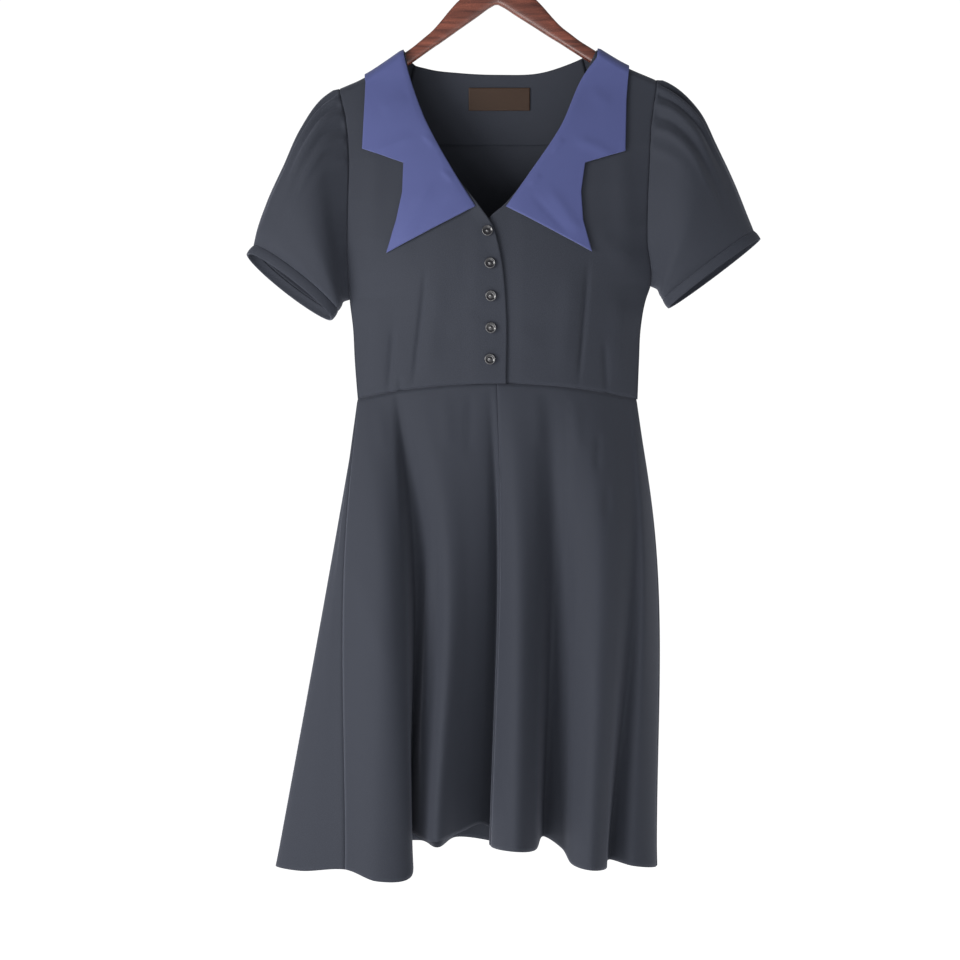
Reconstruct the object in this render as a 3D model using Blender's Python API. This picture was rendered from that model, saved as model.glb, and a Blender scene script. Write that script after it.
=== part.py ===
"""An a-line dress with a two-point collar, hanging on a wooden hanger.

X runs to the wearer's left, the front of the dress faces -Y and Z is up. The origin is the seat
inside the hanger's hook. Tables are in millimetres and are turned into metres where they are read.
"""
import bpy
import bmesh
import numpy as np
from math import atan2, cos, pi, radians, sin, sqrt

MM = 0.001

# Cloth and seams
CLOTH = 1.5 * MM
SEAM_GAP = 0.3 * MM
COLLAR_THICK = 1.6 * MM
COLLAR_LIFT = 3.0 * MM
FACING_THICK = 1.0 * MM
LAP_LIFT = 1.3 * MM

# Bodice
WAIST_CENTRE_Z = -558.0
WAIST_SIDE_DROP = 17.0
WAIST_HALF = 168.0
UNDERARM_RIGHT_Z = -455.0
UNDERARM_LEFT_Z = -439.0
NECK_RIGHT_X = -110.0
NECK_LEFT_X = 120.0
TIP_RIGHT_X = -189.0
TIP_LEFT_X = 191.0
SIDE_ROUNDING = 2.4
SHOULDER_ROLL = 10.0
TIP_SLOPE = 0.42
SIDE_ROWS = 5
ARM_ROWS = 13
SHOULDER_DROPS = [24, 11, 5.5, 2.2, 0.6, 0]
FRONT_COLUMNS = 8
NECK_SHARES = [0, 0.006, 0.02, 0.07, 0.2, 0.35, 0.5, 0.65, 0.8, 0.93, 0.98, 0.994, 1]

# height, wearer's right edge, left edge, depth at the middle of the front and of the back
BODICE_SECTIONS = [
    (-580, -166, 169, -42, 30),
    (-528, -170, 171, -47, 35),
    (-490, -172, 173, -51, 39),
    (-456, -176, 179, -57, 42),
    (-438, -177, 185, -59, 43),
    (-386, -178, 180, -59, 44),
    (-339, -177, 180, -54, 42),
    (-292, -176, 182, -46, 38),
    (-243, -180, 185, -36, 32),
    (-200, -189, 191, -22, 26),
    (-150, -192, 194, -16, 20),
]
# height above the underarm, depth of the armhole's front edge and of its back edge
ARMHOLE_SECTIONS = [
    (-60, 0, 0),
    (0, 0, 0),
    (35, -14, 9),
    (70, -24, 15),
    (115, -29, 19),
    (165, -28, 20),
    (212, -22, 18),
    (260, -14, 14),
]
# front edges of the two fronts, from the waist up the button band and round the neck: x, z
RIGHT_FRONT_EDGE = [(11, -470), (4, -405), (-5, -373), (-21, -349), (-51, -308), (-86, -242), (-100, -204)]
LEFT_FRONT_EDGE = [(-21, -470), (-19, -385), (-7, -361), (7, -349), (38, -311), (75, -255), (106, -187)]
RIGHT_EDGE_AT_WAIST = 11.0
LEFT_EDGE_AT_WAIST = -21.0
BACK_NECK = [(-102, -169), (-84, -175), (-44, -180), (4, -182), (53, -180), (92, -168), (113, -159)]
FACING_LOW_Z = -266.0
FACING_FLARE = 0.25
FACING_ROWS = 6

# Collar outline from the point of each lower wing up to the shoulder: x, z
RIGHT_COLLAR_OUTLINE = [(-129, -403), (-118, -366), (-111, -332), (-110, -297), (-159, -279), (-157, -230)]
LEFT_COLLAR_OUTLINE = [(111, -402), (101, -366), (99, -332), (104, -297), (152, -282), (154, -222)]
RIGHT_COLLAR_START = (-25, -350)
LEFT_COLLAR_START = (11, -350)
RIGHT_COLLAR_SHOULDER_X = -156.0
LEFT_COLLAR_SHOULDER_X = 157.0
COLLAR_COLUMNS = 6

# Sleeve sections from the armhole to the cuff: top x and z, low x and z, front and back depth
RIGHT_SLEEVE = [
    (-206, -216, -185, -459, -37, 29),
    (-233, -252, -186, -462, -46, 38),
    (-254, -295, -187, -464, -48, 41),
    (-275, -340, -189, -467, -42, 38),
    (-288, -378, -190, -468, -34, 31),
    (-291, -392, -191, -469, -29, 27),
]
LEFT_SLEEVE = [
    (207, -200, 194, -444, -37, 29),
    (241, -231, 195, -446, -46, 38),
    (262, -270, 196, -449, -48, 41),
    (284, -315, 198, -452, -42, 38),
    (301, -357, 199, -454, -34, 31),
    (308, -374, 200, -455, -29, 27),
]
CUFF_WIDTH = 12.0 * MM
RIGHT_CUFF_TILT = 8.0 * MM
LEFT_CUFF_TILT = 3.0 * MM
SLEEVE_ROWS = 9
LOW_FULLNESS = 1.25
TOP_FULLNESS = 0.85

# Skirt folds round the ring from the right side seam across the front and back round behind:
# name, waist x, hip x and y, hem x, y and z
SKIRT_FOLDS = [
    ("side seam right", -166, -179, -18, -180, -35, -1134),
    ("flute 1 crest", -154, -143, -50, -140, -62, -1144),
    ("flute 1 edge", -129, -117, -46, -101, -45, -1140),
    ("valley 1", -118, -102, -22, -106, 28, -1101),
    ("flute 2 edge", -106, -81, -38, -90, -12, -1100),
    ("flute 2 crest", -85, -62, -48, -72, -50, -1099),
    ("flute 2 flank", -50, -36, -44, -46, -20, -1093),
    ("flute 2 far side", -20, -13, -38, -20, 10, -1086),
    ("valley 2", -8, -1, -30, -5, 25, -1096),
    ("centre front seam", 0, 4, -38, -7, -22, -1108),
    ("flute 3 crest", 18, 23, -50, 20, -62, -1109),
    ("flute 3 flank", 40, 44, -44, 45, -35, -1111),
    ("valley 3", 61, 66, -28, 56, 25, -1103),
    ("flute 4 low side", 77, 82, -34, 79, 0, -1114),
    ("flute 4 side", 91, 96, -42, 90, -25, -1129),
    ("flute 4 crest", 114, 120, -48, 110, -48, -1133),
    ("flute 4 flank", 136, 141, -40, 129, -30, -1134),
    ("valley 4", 155, 164, -22, 135, 5, -1128),
    ("flute 5", 164, 175, -18, 164, -15, -1133),
    ("side seam left", 168, 188, 8, 193, 18, -1138),
    ("back valley 1", 160, 184, 28, 186, 78, -1131),
    ("back crest 1 left", 143, 160, 42, 160, 112, -1127),
    ("back crest 1 right", 124, 136, 46, 122, 118, -1124),
    ("back valley 2", 104, 110, 38, 98, 70, -1118),
    ("back crest 2 left", 84, 86, 44, 74, 118, -1117),
    ("back crest 2 right", 62, 62, 46, 34, 124, -1118),
    ("back valley 3", 40, 38, 38, 14, 72, -1124),
    ("back crest 3 left", 18, 14, 44, -8, 122, -1122),
    ("back crest 3 right", -6, -12, 46, -50, 126, -1118),
    ("back valley 4", -28, -36, 38, -72, 76, -1124),
    ("back crest 4 left", -50, -60, 44, -94, 124, -1122),
    ("back crest 4 right", -74, -88, 46, -138, 126, -1126),
    ("back valley 5", -96, -112, 38, -160, 78, -1130),
    ("back crest 5 left", -116, -136, 42, -186, 118, -1134),
    ("back crest 5 right", -136, -160, 38, -232, 112, -1137),
    ("back valley 6", -152, -177, 24, -256, 66, -1140),
    ("back side edge", -162, -188, 6, -266, 28, -1140),
    ("back side turn", -165, -185, -8, -231, -8, -1140),
]
SKIRT_LEVELS = [0, 0.06, 0.15, 0.27, 0.41, 0.56, 0.71, 0.86, 1]
HIP_LEVEL = 0.25
SKIRT_STEPS = 2
SIDE_SEAM_LEFT = 19
CENTRE_FRONT = 9

# Buttons
BUTTON_PLACES = [(-11, -379), (-8, -417), (-7, -455), (-7, -492), (-8, -529)]
BUTTON_RADIUS = 6.4 * MM
BUTTON_THICK = 3.2 * MM
BUTTON_SEGMENTS = 16

# Hanger: distance from the middle, top edge and lower edge of the wood, half thickness
YOKE_SECTIONS = [
    (0, -74, -101, 6.0),
    (10, -75.5, -106.5, 6.0),
    (22, -80, -115, 6.0),
    (34, -86.5, -123, 6.0),
    (46, -96, -131, 6.0),
    (57, -107.7, -138.5, 6.0),
    (66, -118.5, -144.5, 6.0),
    (77, -130.5, -151.5, 6.0),
    (88, -139.5, -159, 6.0),
    (100, -149, -167, 6.0),
    (112, -157, -175, 6.0),
    (130, -169, -187, 6.0),
    (150, -181.5, -199.5, 5.8),
    (168, -190.5, -207.5, 5.4),
    (178, -195, -210.5, 5.0),
    (183, -198.5, -208.5, 3.0),
]
YOKE_TILT = 0.035
YOKE_SECTION_POINTS = 12
YOKE_SQUARENESS = 0.8
HOOK_WIRE = 1.8 * MM
HOOK_RADIUS = 16.0 * MM
HOOK_FILLET = 14.0 * MM
HOOK_END_ANGLE = radians(-35)
HOOK_DEPTH_IN_WOOD = 18.0 * MM
HOOK_HOLE = 2.1 * MM

for item in list(bpy.data.objects):
    bpy.data.objects.remove(item, do_unlink=True)


# ---------------------------------------------------------------- materials
def material(name, colour, roughness, metallic=0.0):
    finish = bpy.data.materials.new(name)
    finish.use_nodes = True
    shader = finish.node_tree.nodes["Principled BSDF"]
    shader.inputs["Base Color"].default_value = (*colour, 1)
    shader.inputs["Roughness"].default_value = roughness
    shader.inputs["Metallic"].default_value = metallic
    finish.diffuse_color = (*colour, 1)
    return finish


CREPE = ((0.035, 0.038, 0.050), 0.85)
COLLAR_BLUE = ((0.075, 0.085, 0.26), 0.75)
LABEL_COPPER = ((0.30, 0.13, 0.06), 0.7)
BLACK_BUTTON = ((0.02, 0.02, 0.022), 0.25)
RED_WOOD = ((0.11, 0.028, 0.018), 0.4)
STEEL = ((0.62, 0.62, 0.63), 0.25, 1.0)


# ---------------------------------------------------------------- curves and tables
def smooth_between(at, keys, values):
    """Reads a table of values between its keys, with no corner at a key."""
    keys = np.asarray(keys, float)
    values = np.asarray(values, float)
    slopes = np.gradient(values, keys, axis=0)
    at = np.clip(np.asarray(at, float), keys[0], keys[-1])
    i = np.clip(np.searchsorted(keys, at) - 1, 0, len(keys) - 2)
    span = keys[i + 1] - keys[i]
    t = (at - keys[i]) / span
    start = (2 * t**3 - 3 * t**2 + 1) * values[i] + (t**3 - 2 * t**2 + t) * span * slopes[i]
    end = (3 * t**2 - 2 * t**3) * values[i + 1] + (t**3 - t**2) * span * slopes[i + 1]
    return start + end


def column(rows, index):
    return np.array([row[index] for row in rows], float)


def spline(points, shares):
    """Points at the given shares of the length of a smooth curve through the points."""
    points = np.asarray(points, float)
    steps = np.linalg.norm(np.diff(points, axis=0), axis=1)
    knots = np.concatenate([[0], np.cumsum(steps)])
    fine = np.linspace(0, knots[-1], 40 * len(points))
    line = np.stack([smooth_between(fine, knots, points[:, k]) for k in range(points.shape[1])], axis=1)
    along = np.concatenate([[0], np.cumsum(np.linalg.norm(np.diff(line, axis=0), axis=1))])
    at = np.asarray(shares, float) * along[-1]
    return np.stack([np.interp(at, along, line[:, k]) for k in range(points.shape[1])], axis=1)


def length_shares(line):
    """How far along a line each of its points is, from 0 to 1."""
    along = np.concatenate([[0], np.cumsum(np.linalg.norm(np.diff(line, axis=0), axis=1))])
    return along / along[-1]


def coons(bottom, top, side_a, side_b):
    """A grid between four edges that share their corners; rows run from bottom to top."""
    v = (length_shares(side_a) + length_shares(side_b))[:, None, None] / 2
    u = (length_shares(bottom) + length_shares(top))[None, :, None] / 2
    across = (1 - u) * side_a[:, None] + u * side_b[:, None]
    upward = (1 - v) * bottom[None] + v * top[None]
    corners = (1 - v) * ((1 - u) * bottom[0] + u * bottom[-1]) + v * ((1 - u) * top[0] + u * top[-1])
    return across + upward - corners


# ---------------------------------------------------------------- the forms of the bodice
def yoke_top(x):
    """Top edge of the wood, in millimetres, at x millimetres from the middle."""
    return smooth_between(np.abs(x), column(YOKE_SECTIONS, 0), column(YOKE_SECTIONS, 1)) + YOKE_TILT * x


def shoulder_z(x):
    """The shoulder seam rests on the wood; past its end it carries on at the same slope."""
    end = YOKE_SECTIONS[-3][0]
    beyond = np.maximum(np.abs(x) - end, 0)
    inside = np.clip(x, -end, end)
    return yoke_top(inside) - beyond * TIP_SLOPE + (CLOTH / 2 + 2 * SEAM_GAP) / MM


def waist_z(x):
    return WAIST_CENTRE_Z - WAIST_SIDE_DROP * (x / WAIST_HALF) ** 2


def depth(x, z, middle_index, edge_index):
    """Depth of the front or the back at a place, in millimetres."""
    heights = column(BODICE_SECTIONS, 0)
    edge_right = smooth_between(z, heights, column(BODICE_SECTIONS, 1))
    edge_left = smooth_between(z, heights, column(BODICE_SECTIONS, 2))
    middle = smooth_between(z, heights, column(BODICE_SECTIONS, middle_index))
    share = np.clip(np.where(x < 0, x / edge_right, x / edge_left), 0, 1)
    above = z - np.where(x < 0, UNDERARM_RIGHT_Z, UNDERARM_LEFT_Z)
    edge = np.interp(above, column(ARMHOLE_SECTIONS, 0), column(ARMHOLE_SECTIONS, edge_index))
    flat = edge + (middle - edge) * (1 - share**SIDE_ROUNDING)
    below = np.clip((shoulder_z(x) - z) / SHOULDER_ROLL, 0, 1)
    return flat * np.sqrt(1 - (1 - below) ** 2)


def front_y(x, z):
    return depth(x, z, 3, 1)


def back_y(x, z):
    return depth(x, z, 4, 2)


def outward(form, x, z, side):
    """Unit direction out of the front (side -1) or back (side 1) form at a place."""
    step = 0.4
    slope_x = (form(x + step, z) - form(x - step, z)) / (2 * step)
    slope_z = (form(x, z + step) - form(x, z - step)) / (2 * step)
    normal = np.stack([-slope_x, np.ones_like(slope_x), -slope_z], axis=-1) * side
    return normal / np.linalg.norm(normal, axis=-1, keepdims=True)


def on_form(form, flat):
    """Turns a grid of x and z, in millimetres, into points on the form, in metres."""
    x = flat[..., 0]
    z = flat[..., 1]
    return np.stack([x, form(x, z), z], axis=-1) * MM


# ---------------------------------------------------------------- walls
def grid_normals(grid, closed):
    if closed:
        around = np.roll(grid, -1, axis=1) - np.roll(grid, 1, axis=1)
    else:
        around = np.gradient(grid, axis=1)
    upward = np.gradient(grid, axis=0)
    normal = np.cross(around, upward)
    return normal / np.maximum(np.linalg.norm(normal, axis=-1, keepdims=True), 1e-12)


def wall(grid, thick, closed=False):
    """Both faces of a cloth wall whose middle is the grid."""
    normal = grid_normals(grid, closed)
    return {"outer": grid + normal * thick / 2, "inner": grid - normal * thick / 2}


def join_seam(a, place_a, beside_a, b, place_b, beside_b):
    """Brings two walls' edges to one line, then draws each back by half the seam gap."""
    for face in ("outer", "inner"):
        middle = (a[face][place_a] + b[face][place_b]) / 2
        for piece, place, beside in ((a, place_a, beside_a), (b, place_b, beside_b)):
            back = piece[face][beside] - middle
            back = back / np.linalg.norm(back, axis=-1, keepdims=True)
            piece[face][place] = middle + back * SEAM_GAP / 2


def add_mesh(name, points, faces, look):
    mesh = bpy.data.meshes.new(name)
    mesh.from_pydata([tuple(p) for p in points], [], faces)
    mesh.update()
    piece = bpy.data.objects.new(name, mesh)
    bpy.context.scene.collection.objects.link(piece)
    mesh.materials.append(material(name, *look))
    shape = bmesh.new()
    shape.from_mesh(mesh)
    bmesh.ops.triangulate(shape, faces=shape.faces)
    bmesh.ops.recalc_face_normals(shape, faces=shape.faces)
    shape.to_mesh(mesh)
    shape.free()
    return piece


def add_wall(name, faces, look, columns=slice(None), ring=False):
    """A closed piece from a wall's two faces: their quads and the rim between them."""
    outer = faces["outer"][:, columns]
    inner = faces["inner"][:, columns]
    rows, across = outer.shape[:2]
    points = np.concatenate([outer.reshape(-1, 3), inner.reshape(-1, 3)])
    under = rows * across
    quads = []
    last = across if ring else across - 1

    def at(i, j):
        return i * across + j % across

    for i in range(rows - 1):
        for j in range(last):
            quad = (at(i, j), at(i, j + 1), at(i + 1, j + 1), at(i + 1, j))
            quads.append(quad)
            quads.append(tuple(under + p for p in reversed(quad)))
    for j in range(last):
        for i in (0, rows - 1):
            a, b = at(i, j), at(i, j + 1)
            quads.append((a, under + a, under + b, b) if i == 0 else (b, under + b, under + a, a))
    if not ring:
        for i in range(rows - 1):
            for j in (0, across - 1):
                a, b = at(i, j), at(i + 1, j)
                quads.append((b, under + b, under + a, a) if j == 0 else (a, under + a, under + b, b))
    return add_mesh(name, points, quads, look)


# ---------------------------------------------------------------- bodice
def side_edge(side):
    """The side seam and the armhole as one edge: x and z from the waist to the shoulder."""
    index, underarm, tip = (1, UNDERARM_RIGHT_Z, TIP_RIGHT_X) if side < 0 else (2, UNDERARM_LEFT_Z, TIP_LEFT_X)
    heights = column(BODICE_SECTIONS, 0)
    edge = column(BODICE_SECTIONS, index)
    waist_x = smooth_between(-575.0, heights, edge)
    seam_z = np.linspace(waist_z(waist_x), underarm, SIDE_ROWS)
    top = shoulder_z(tip)
    arm_z = np.linspace(underarm, top - SHOULDER_DROPS[0], ARM_ROWS - len(SHOULDER_DROPS) + 1)
    z = np.concatenate([seam_z, arm_z[1:], top - np.array(SHOULDER_DROPS[1:])])
    x = smooth_between(z, heights, edge)
    x[0] = waist_x
    x[-1] = tip
    return np.stack([x, z], axis=1)


ROWS = SIDE_ROWS + ARM_ROWS - 1


def shoulder_edge(start, end, count):
    x = np.linspace(start, end, count)
    return np.stack([x, shoulder_z(x)], axis=1)


def front_grid(side):
    """A front's grid, wearer's right (side -1) or left (side 1), with x rising across it."""
    if side < 0:
        edge_table, waist_x, neck_x, tip_x = RIGHT_FRONT_EDGE, RIGHT_EDGE_AT_WAIST, NECK_RIGHT_X, TIP_RIGHT_X
    else:
        edge_table, waist_x, neck_x, tip_x = LEFT_FRONT_EDGE, LEFT_EDGE_AT_WAIST, NECK_LEFT_X, TIP_LEFT_X
    seam = side_edge(side)
    points = [(waist_x, waist_z(waist_x)), *edge_table, (neck_x, float(shoulder_z(neck_x)))]
    opening = spline(points, length_shares(seam))
    x = np.linspace(seam[0, 0], waist_x, FRONT_COLUMNS)
    waist = np.stack([x, waist_z(x)], axis=1)
    shoulder = shoulder_edge(tip_x, neck_x, FRONT_COLUMNS)
    flat = coons(waist, shoulder, seam, opening)
    return flat if side < 0 else flat[:, ::-1]


def lap(x, z, side):
    """How far a front moves for the lap: the right one forward, the left one behind it."""
    band = np.clip((38 - np.abs(x + 5)) / 22, 0, 1) * np.clip((-335 - z) / 25, 0, 1)
    return side * LAP_LIFT / MM * band * band * (3 - 2 * band)


def front_form(side):
    return lambda x, z: front_y(x, z) + lap(x, z, side)


def back_grid():
    right = side_edge(-1)
    left = side_edge(1)
    right_shoulder = shoulder_edge(TIP_RIGHT_X, NECK_RIGHT_X, FRONT_COLUMNS)
    left_shoulder = shoulder_edge(NECK_LEFT_X, TIP_LEFT_X, FRONT_COLUMNS)
    neck = spline([right_shoulder[-1], *BACK_NECK, left_shoulder[0]], NECK_SHARES)
    top = np.concatenate([right_shoulder, neck[1:-1], left_shoulder])
    x = np.linspace(right[0, 0], left[0, 0], len(top))
    waist = np.stack([x, waist_z(x)], axis=1)
    return coons(waist, top, right, left)


def level_rim(faces, row, z):
    for face in ("outer", "inner"):
        faces[face][row, :, 2] = z


def half_gap(z, side):
    return z * MM + side * SEAM_GAP / 2


flat_right = front_grid(-1)
flat_left = front_grid(1)
flat_back = back_grid()
front_right = wall(on_form(front_form(-1), flat_right), CLOTH)
front_left = wall(on_form(front_form(1), flat_left), CLOTH)
back = wall(on_form(back_y, flat_back)[:, ::-1], CLOTH)
back = {face: points[:, ::-1] for face, points in back.items()}
LAST = FRONT_COLUMNS - 1
for panel, edge, beside, back_edge, back_beside in (
    (front_right, 0, 1, 0, 1),
    (front_left, LAST, LAST - 1, -1, -2),
):
    seam_rows = slice(0, SIDE_ROWS)
    join_seam(panel, (seam_rows, edge), (seam_rows, beside), back, (seam_rows, back_edge), (seam_rows, back_beside))
right_part = slice(0, FRONT_COLUMNS)
left_part = slice(len(flat_back[0]) - FRONT_COLUMNS, len(flat_back[0]))
for panel, part in ((front_right, right_part), (front_left, left_part)):
    join_seam(panel, (-1, slice(None)), (-2, slice(None)), back, (-1, part), (-2, part))
for panel, flat in ((front_right, flat_right), (front_left, flat_left), (back, flat_back)):
    level_rim(panel, 0, half_gap(flat[0, :, 1], 1))

add_wall("bodice_front_right", front_right, CREPE)
add_wall("bodice_front_left", front_left, CREPE)
add_wall("bodice_back", back, CREPE)

# ---------------------------------------------------------------- facing and label inside the back neck
neck_part = slice(FRONT_COLUMNS, len(flat_back[0]) - FRONT_COLUMNS)
facing_top = flat_back[-1, neck_part][2:-2]
drop = np.linspace(1, 0, FACING_ROWS)[:, None]
facing_z = facing_top[None, :, 1] + drop * (FACING_LOW_Z - facing_top[None, :, 1])
facing_flat = np.stack([facing_top[None, :, 0] * (1 + FACING_FLARE * drop), facing_z], axis=-1)
FACING_IN = CLOTH / 2 + SEAM_GAP + FACING_THICK / 2
facing_grid = on_form(back_y, facing_flat)
facing_grid -= outward(back_y, facing_flat[..., 0], facing_flat[..., 1], 1) * (FACING_IN + 0.15 * MM)
add_wall("back_neck_facing", wall(facing_grid, FACING_THICK), CREPE)

LABEL_CENTRE = (3.5, -211.0)
LABEL_SIZE = (74.0, 27.0)
label_x = LABEL_CENTRE[0] + np.linspace(-0.5, 0.5, 7) * LABEL_SIZE[0]
label_z = LABEL_CENTRE[1] + np.linspace(-0.5, 0.5, 4) * LABEL_SIZE[1]
label_flat = np.stack(np.meshgrid(label_x, label_z), axis=-1)
label_grid = on_form(back_y, label_flat)
label_grid[..., 1] -= FACING_IN + FACING_THICK + 2 * SEAM_GAP
add_wall("neck_label", wall(label_grid, FACING_THICK), LABEL_COPPER)


# ---------------------------------------------------------------- collar
def collar_half(name, side):
    if side < 0:
        start, outline, edge_table = RIGHT_COLLAR_START, RIGHT_COLLAR_OUTLINE, RIGHT_FRONT_EDGE
        neck_x, shoulder_x = NECK_RIGHT_X, RIGHT_COLLAR_SHOULDER_X
    else:
        start, outline, edge_table = LEFT_COLLAR_START, LEFT_COLLAR_OUTLINE, LEFT_FRONT_EDGE
        neck_x, shoulder_x = NECK_LEFT_X, LEFT_COLLAR_SHOULDER_X
    near_top = SHOULDER_DROPS[1:-1]
    outer = [*outline, *((shoulder_x, shoulder_z(shoulder_x) - drop) for drop in near_top)]
    outer = np.array(outer, float)
    neck = [start, *edge_table[-3:], (neck_x, shoulder_z(neck_x) - near_top[0])]
    wing = len(outline)
    inner = spline(neck, (outer[: wing + 1, 1] - outer[0, 1]) / (outer[wing, 1] - outer[0, 1]))
    inner = np.concatenate([inner, [(neck_x, shoulder_z(neck_x) - drop) for drop in near_top[1:]]])
    u = np.linspace(0, 1, COLLAR_COLUMNS)[None, :, None]
    flat = (1 - u) * inner[:, None] + u * outer[:, None]
    x, z = flat[..., 0], flat[..., 1]
    form = front_form(side)
    lift = COLLAR_LIFT * np.ones(flat.shape[:2])
    lift += np.clip((-320 - z) / 80, 0, 1) * 1.2 * MM
    grid = on_form(form, flat) + outward(form, x, z, -1) * lift[..., None]
    if side < 0:
        grid = grid[:, ::-1]
    add_wall(name, wall(grid, COLLAR_THICK), COLLAR_BLUE)


collar_half("collar_right", -1)
collar_half("collar_left", 1)


# ---------------------------------------------------------------- sleeves and cuffs
def armhole_loop(face, side):
    """The armhole from the underarm up the front, over the shoulder and down the back."""
    front, edge, back_edge = (front_right, 0, 0) if side < 0 else (front_left, LAST, -1)
    up = front[face][SIDE_ROWS - 1 :, edge]
    down = back[face][SIDE_ROWS - 1 :, back_edge][::-1]
    return np.concatenate([up, down[1:-1]])


def sleeve(name, cuff_name, side, table, tilt):
    start = {face: armhole_loop(face, side) for face in ("outer", "inner")}
    middle = (start["outer"] + start["inner"]) / 2
    count = len(middle)
    low_z, top_z = middle[:, 2].min(), middle[:, 2].max()
    turn = np.arccos(np.clip((low_z + top_z - 2 * middle[:, 2]) / (top_z - low_z), -1, 1))
    turn = np.where(np.arange(count) < ARM_ROWS, turn, 2 * pi - turn)
    loops = [middle]
    for row, (top_x, top_z, low_x, low_z, front, rear) in enumerate(table):
        top = np.array([top_x, 0, top_z], float) * MM
        low = np.array([low_x, 0, low_z], float) * MM
        centre = (top + low) / 2
        toward_low = low - centre
        out = np.array([-toward_low[2], 0, toward_low[0]])
        out = out / np.linalg.norm(out)
        out = out * np.sign(out[0] * side)
        fullness = np.abs(np.sin(turn)) ** np.where(np.cos(turn) > 0, LOW_FULLNESS, TOP_FULLNESS)
        bulge = np.where(np.sin(turn) > 0, -front, rear) * MM * fullness
        offset = np.where(np.sin(turn) > 0, -bulge, bulge)
        lean = -tilt * (row / (len(table) - 1)) ** 2 * np.sin(turn)
        loop = centre + np.cos(turn)[:, None] * toward_low + offset[:, None] * np.array([0, 1, 0])
        loops.append(loop + lean[:, None] * out)
    cuff_top = loops[-1]
    shares = np.linspace(0, 1, SLEEVE_ROWS)
    columns = [spline([loop[j] for loop in loops], shares) for j in range(count)]
    grid = np.stack(columns, axis=1)
    if side > 0:
        grid = grid[:, ::-1]
        start = {face: points[::-1] for face, points in start.items()}
    faces = wall(grid[::-1], CLOTH, closed=True)
    height = start["outer"][:, 2]
    lowness = (height.max() - height) / (height.max() - height.min())
    clear = SEAM_GAP * (1 + 1.5 * lowness**4)
    rise = lowness - 0.2
    away = np.stack([side * clear, np.zeros(count), rise * clear], axis=1)
    for face in ("outer", "inner"):
        faces[face][-1] = start[face] + away
    add_wall(name, faces, CREPE, ring=True)

    cuff_end = cuff_top + out * CUFF_WIDTH
    centre = cuff_top.mean(axis=0)
    band = np.stack([cuff_end, (cuff_top + cuff_end) / 2, cuff_top])
    band = band + (band - centre) * np.array([[[0.01]], [[0.006]], [[0]]])
    if side > 0:
        band = band[:, ::-1]
    cuff = wall(band, CLOTH, closed=True)
    for face in ("outer", "inner"):
        cuff[face][-1] = faces[face][0] + out * SEAM_GAP
    add_wall(cuff_name, cuff, CREPE, ring=True)


sleeve("sleeve_right", "cuff_right", -1, RIGHT_SLEEVE, RIGHT_CUFF_TILT)
sleeve("sleeve_left", "cuff_left", 1, LEFT_SLEEVE, LEFT_CUFF_TILT)


# ---------------------------------------------------------------- skirt
def ring_spline(points, steps):
    """A closed smooth curve through the points, with steps spans between each two."""
    before, after, second = (np.roll(points, k, axis=0) for k in (1, -1, -2))
    found = []
    for k in range(steps):
        t = k / steps
        slope_a = (after - before) / 2
        slope_b = (second - points) / 2
        found.append(
            (2 * t**3 - 3 * t**2 + 1) * points
            + (t**3 - 2 * t**2 + t) * slope_a
            + (3 * t**2 - 2 * t**3) * after
            + (t**3 - t**2) * slope_b
        )
    return np.stack(found, axis=1).reshape(-1, points.shape[-1])


def skirt_grid():
    waist_x = column(SKIRT_FOLDS, 1)
    index = np.arange(len(SKIRT_FOLDS))
    waist_height = waist_z(waist_x)
    waist_y = np.where(index <= SIDE_SEAM_LEFT, front_y(waist_x, waist_height), back_y(waist_x, waist_height))
    waist_y[[0, SIDE_SEAM_LEFT]] = 0
    waist_y[-1] = 2.5
    waist = np.stack([waist_x, waist_y], axis=1)
    hip = np.stack([column(SKIRT_FOLDS, 2), column(SKIRT_FOLDS, 3)], axis=1)
    hem = np.stack([column(SKIRT_FOLDS, 4), column(SKIRT_FOLDS, 5)], axis=1)
    hem_z = column(SKIRT_FOLDS, 6)
    rings = []
    for level in SKIRT_LEVELS:
        place = smooth_between(np.full(1, level), [0, HIP_LEVEL, 1], np.stack([waist, hip, hem]).reshape(3, -1))
        place = place.reshape(-1, 2)
        z = waist_height + (hem_z - waist_height) * level
        rings.append(ring_spline(np.column_stack([place, z]), SKIRT_STEPS))
    return np.array(rings[::-1]) * MM


skirt = skirt_grid()
skirt_walls = wall(skirt, CLOTH, closed=True)
level_rim(skirt_walls, -1, half_gap(waist_z(skirt[-1, :, 0] / MM), -1))


def skirt_panel(name, first, last):
    """A stretch of the ring between two seams, drawn back from each by half the seam gap."""
    total = skirt.shape[1]
    columns = np.arange(first, last + 1) % total
    faces = {face: points[:, columns].copy() for face, points in skirt_walls.items()}
    for points in faces.values():
        for edge, beside in ((0, 1), (-1, -2)):
            inward = points[:, beside] - points[:, edge]
            length = np.linalg.norm(inward, axis=-1, keepdims=True)
            points[:, edge] += inward / length * SEAM_GAP / 2
    add_wall(name, faces, CREPE)


skirt_panel("skirt_front_right", 0, CENTRE_FRONT * SKIRT_STEPS)
skirt_panel("skirt_front_left", CENTRE_FRONT * SKIRT_STEPS, SIDE_SEAM_LEFT * SKIRT_STEPS)
skirt_panel("skirt_back", SIDE_SEAM_LEFT * SKIRT_STEPS, len(SKIRT_FOLDS) * SKIRT_STEPS)


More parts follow.
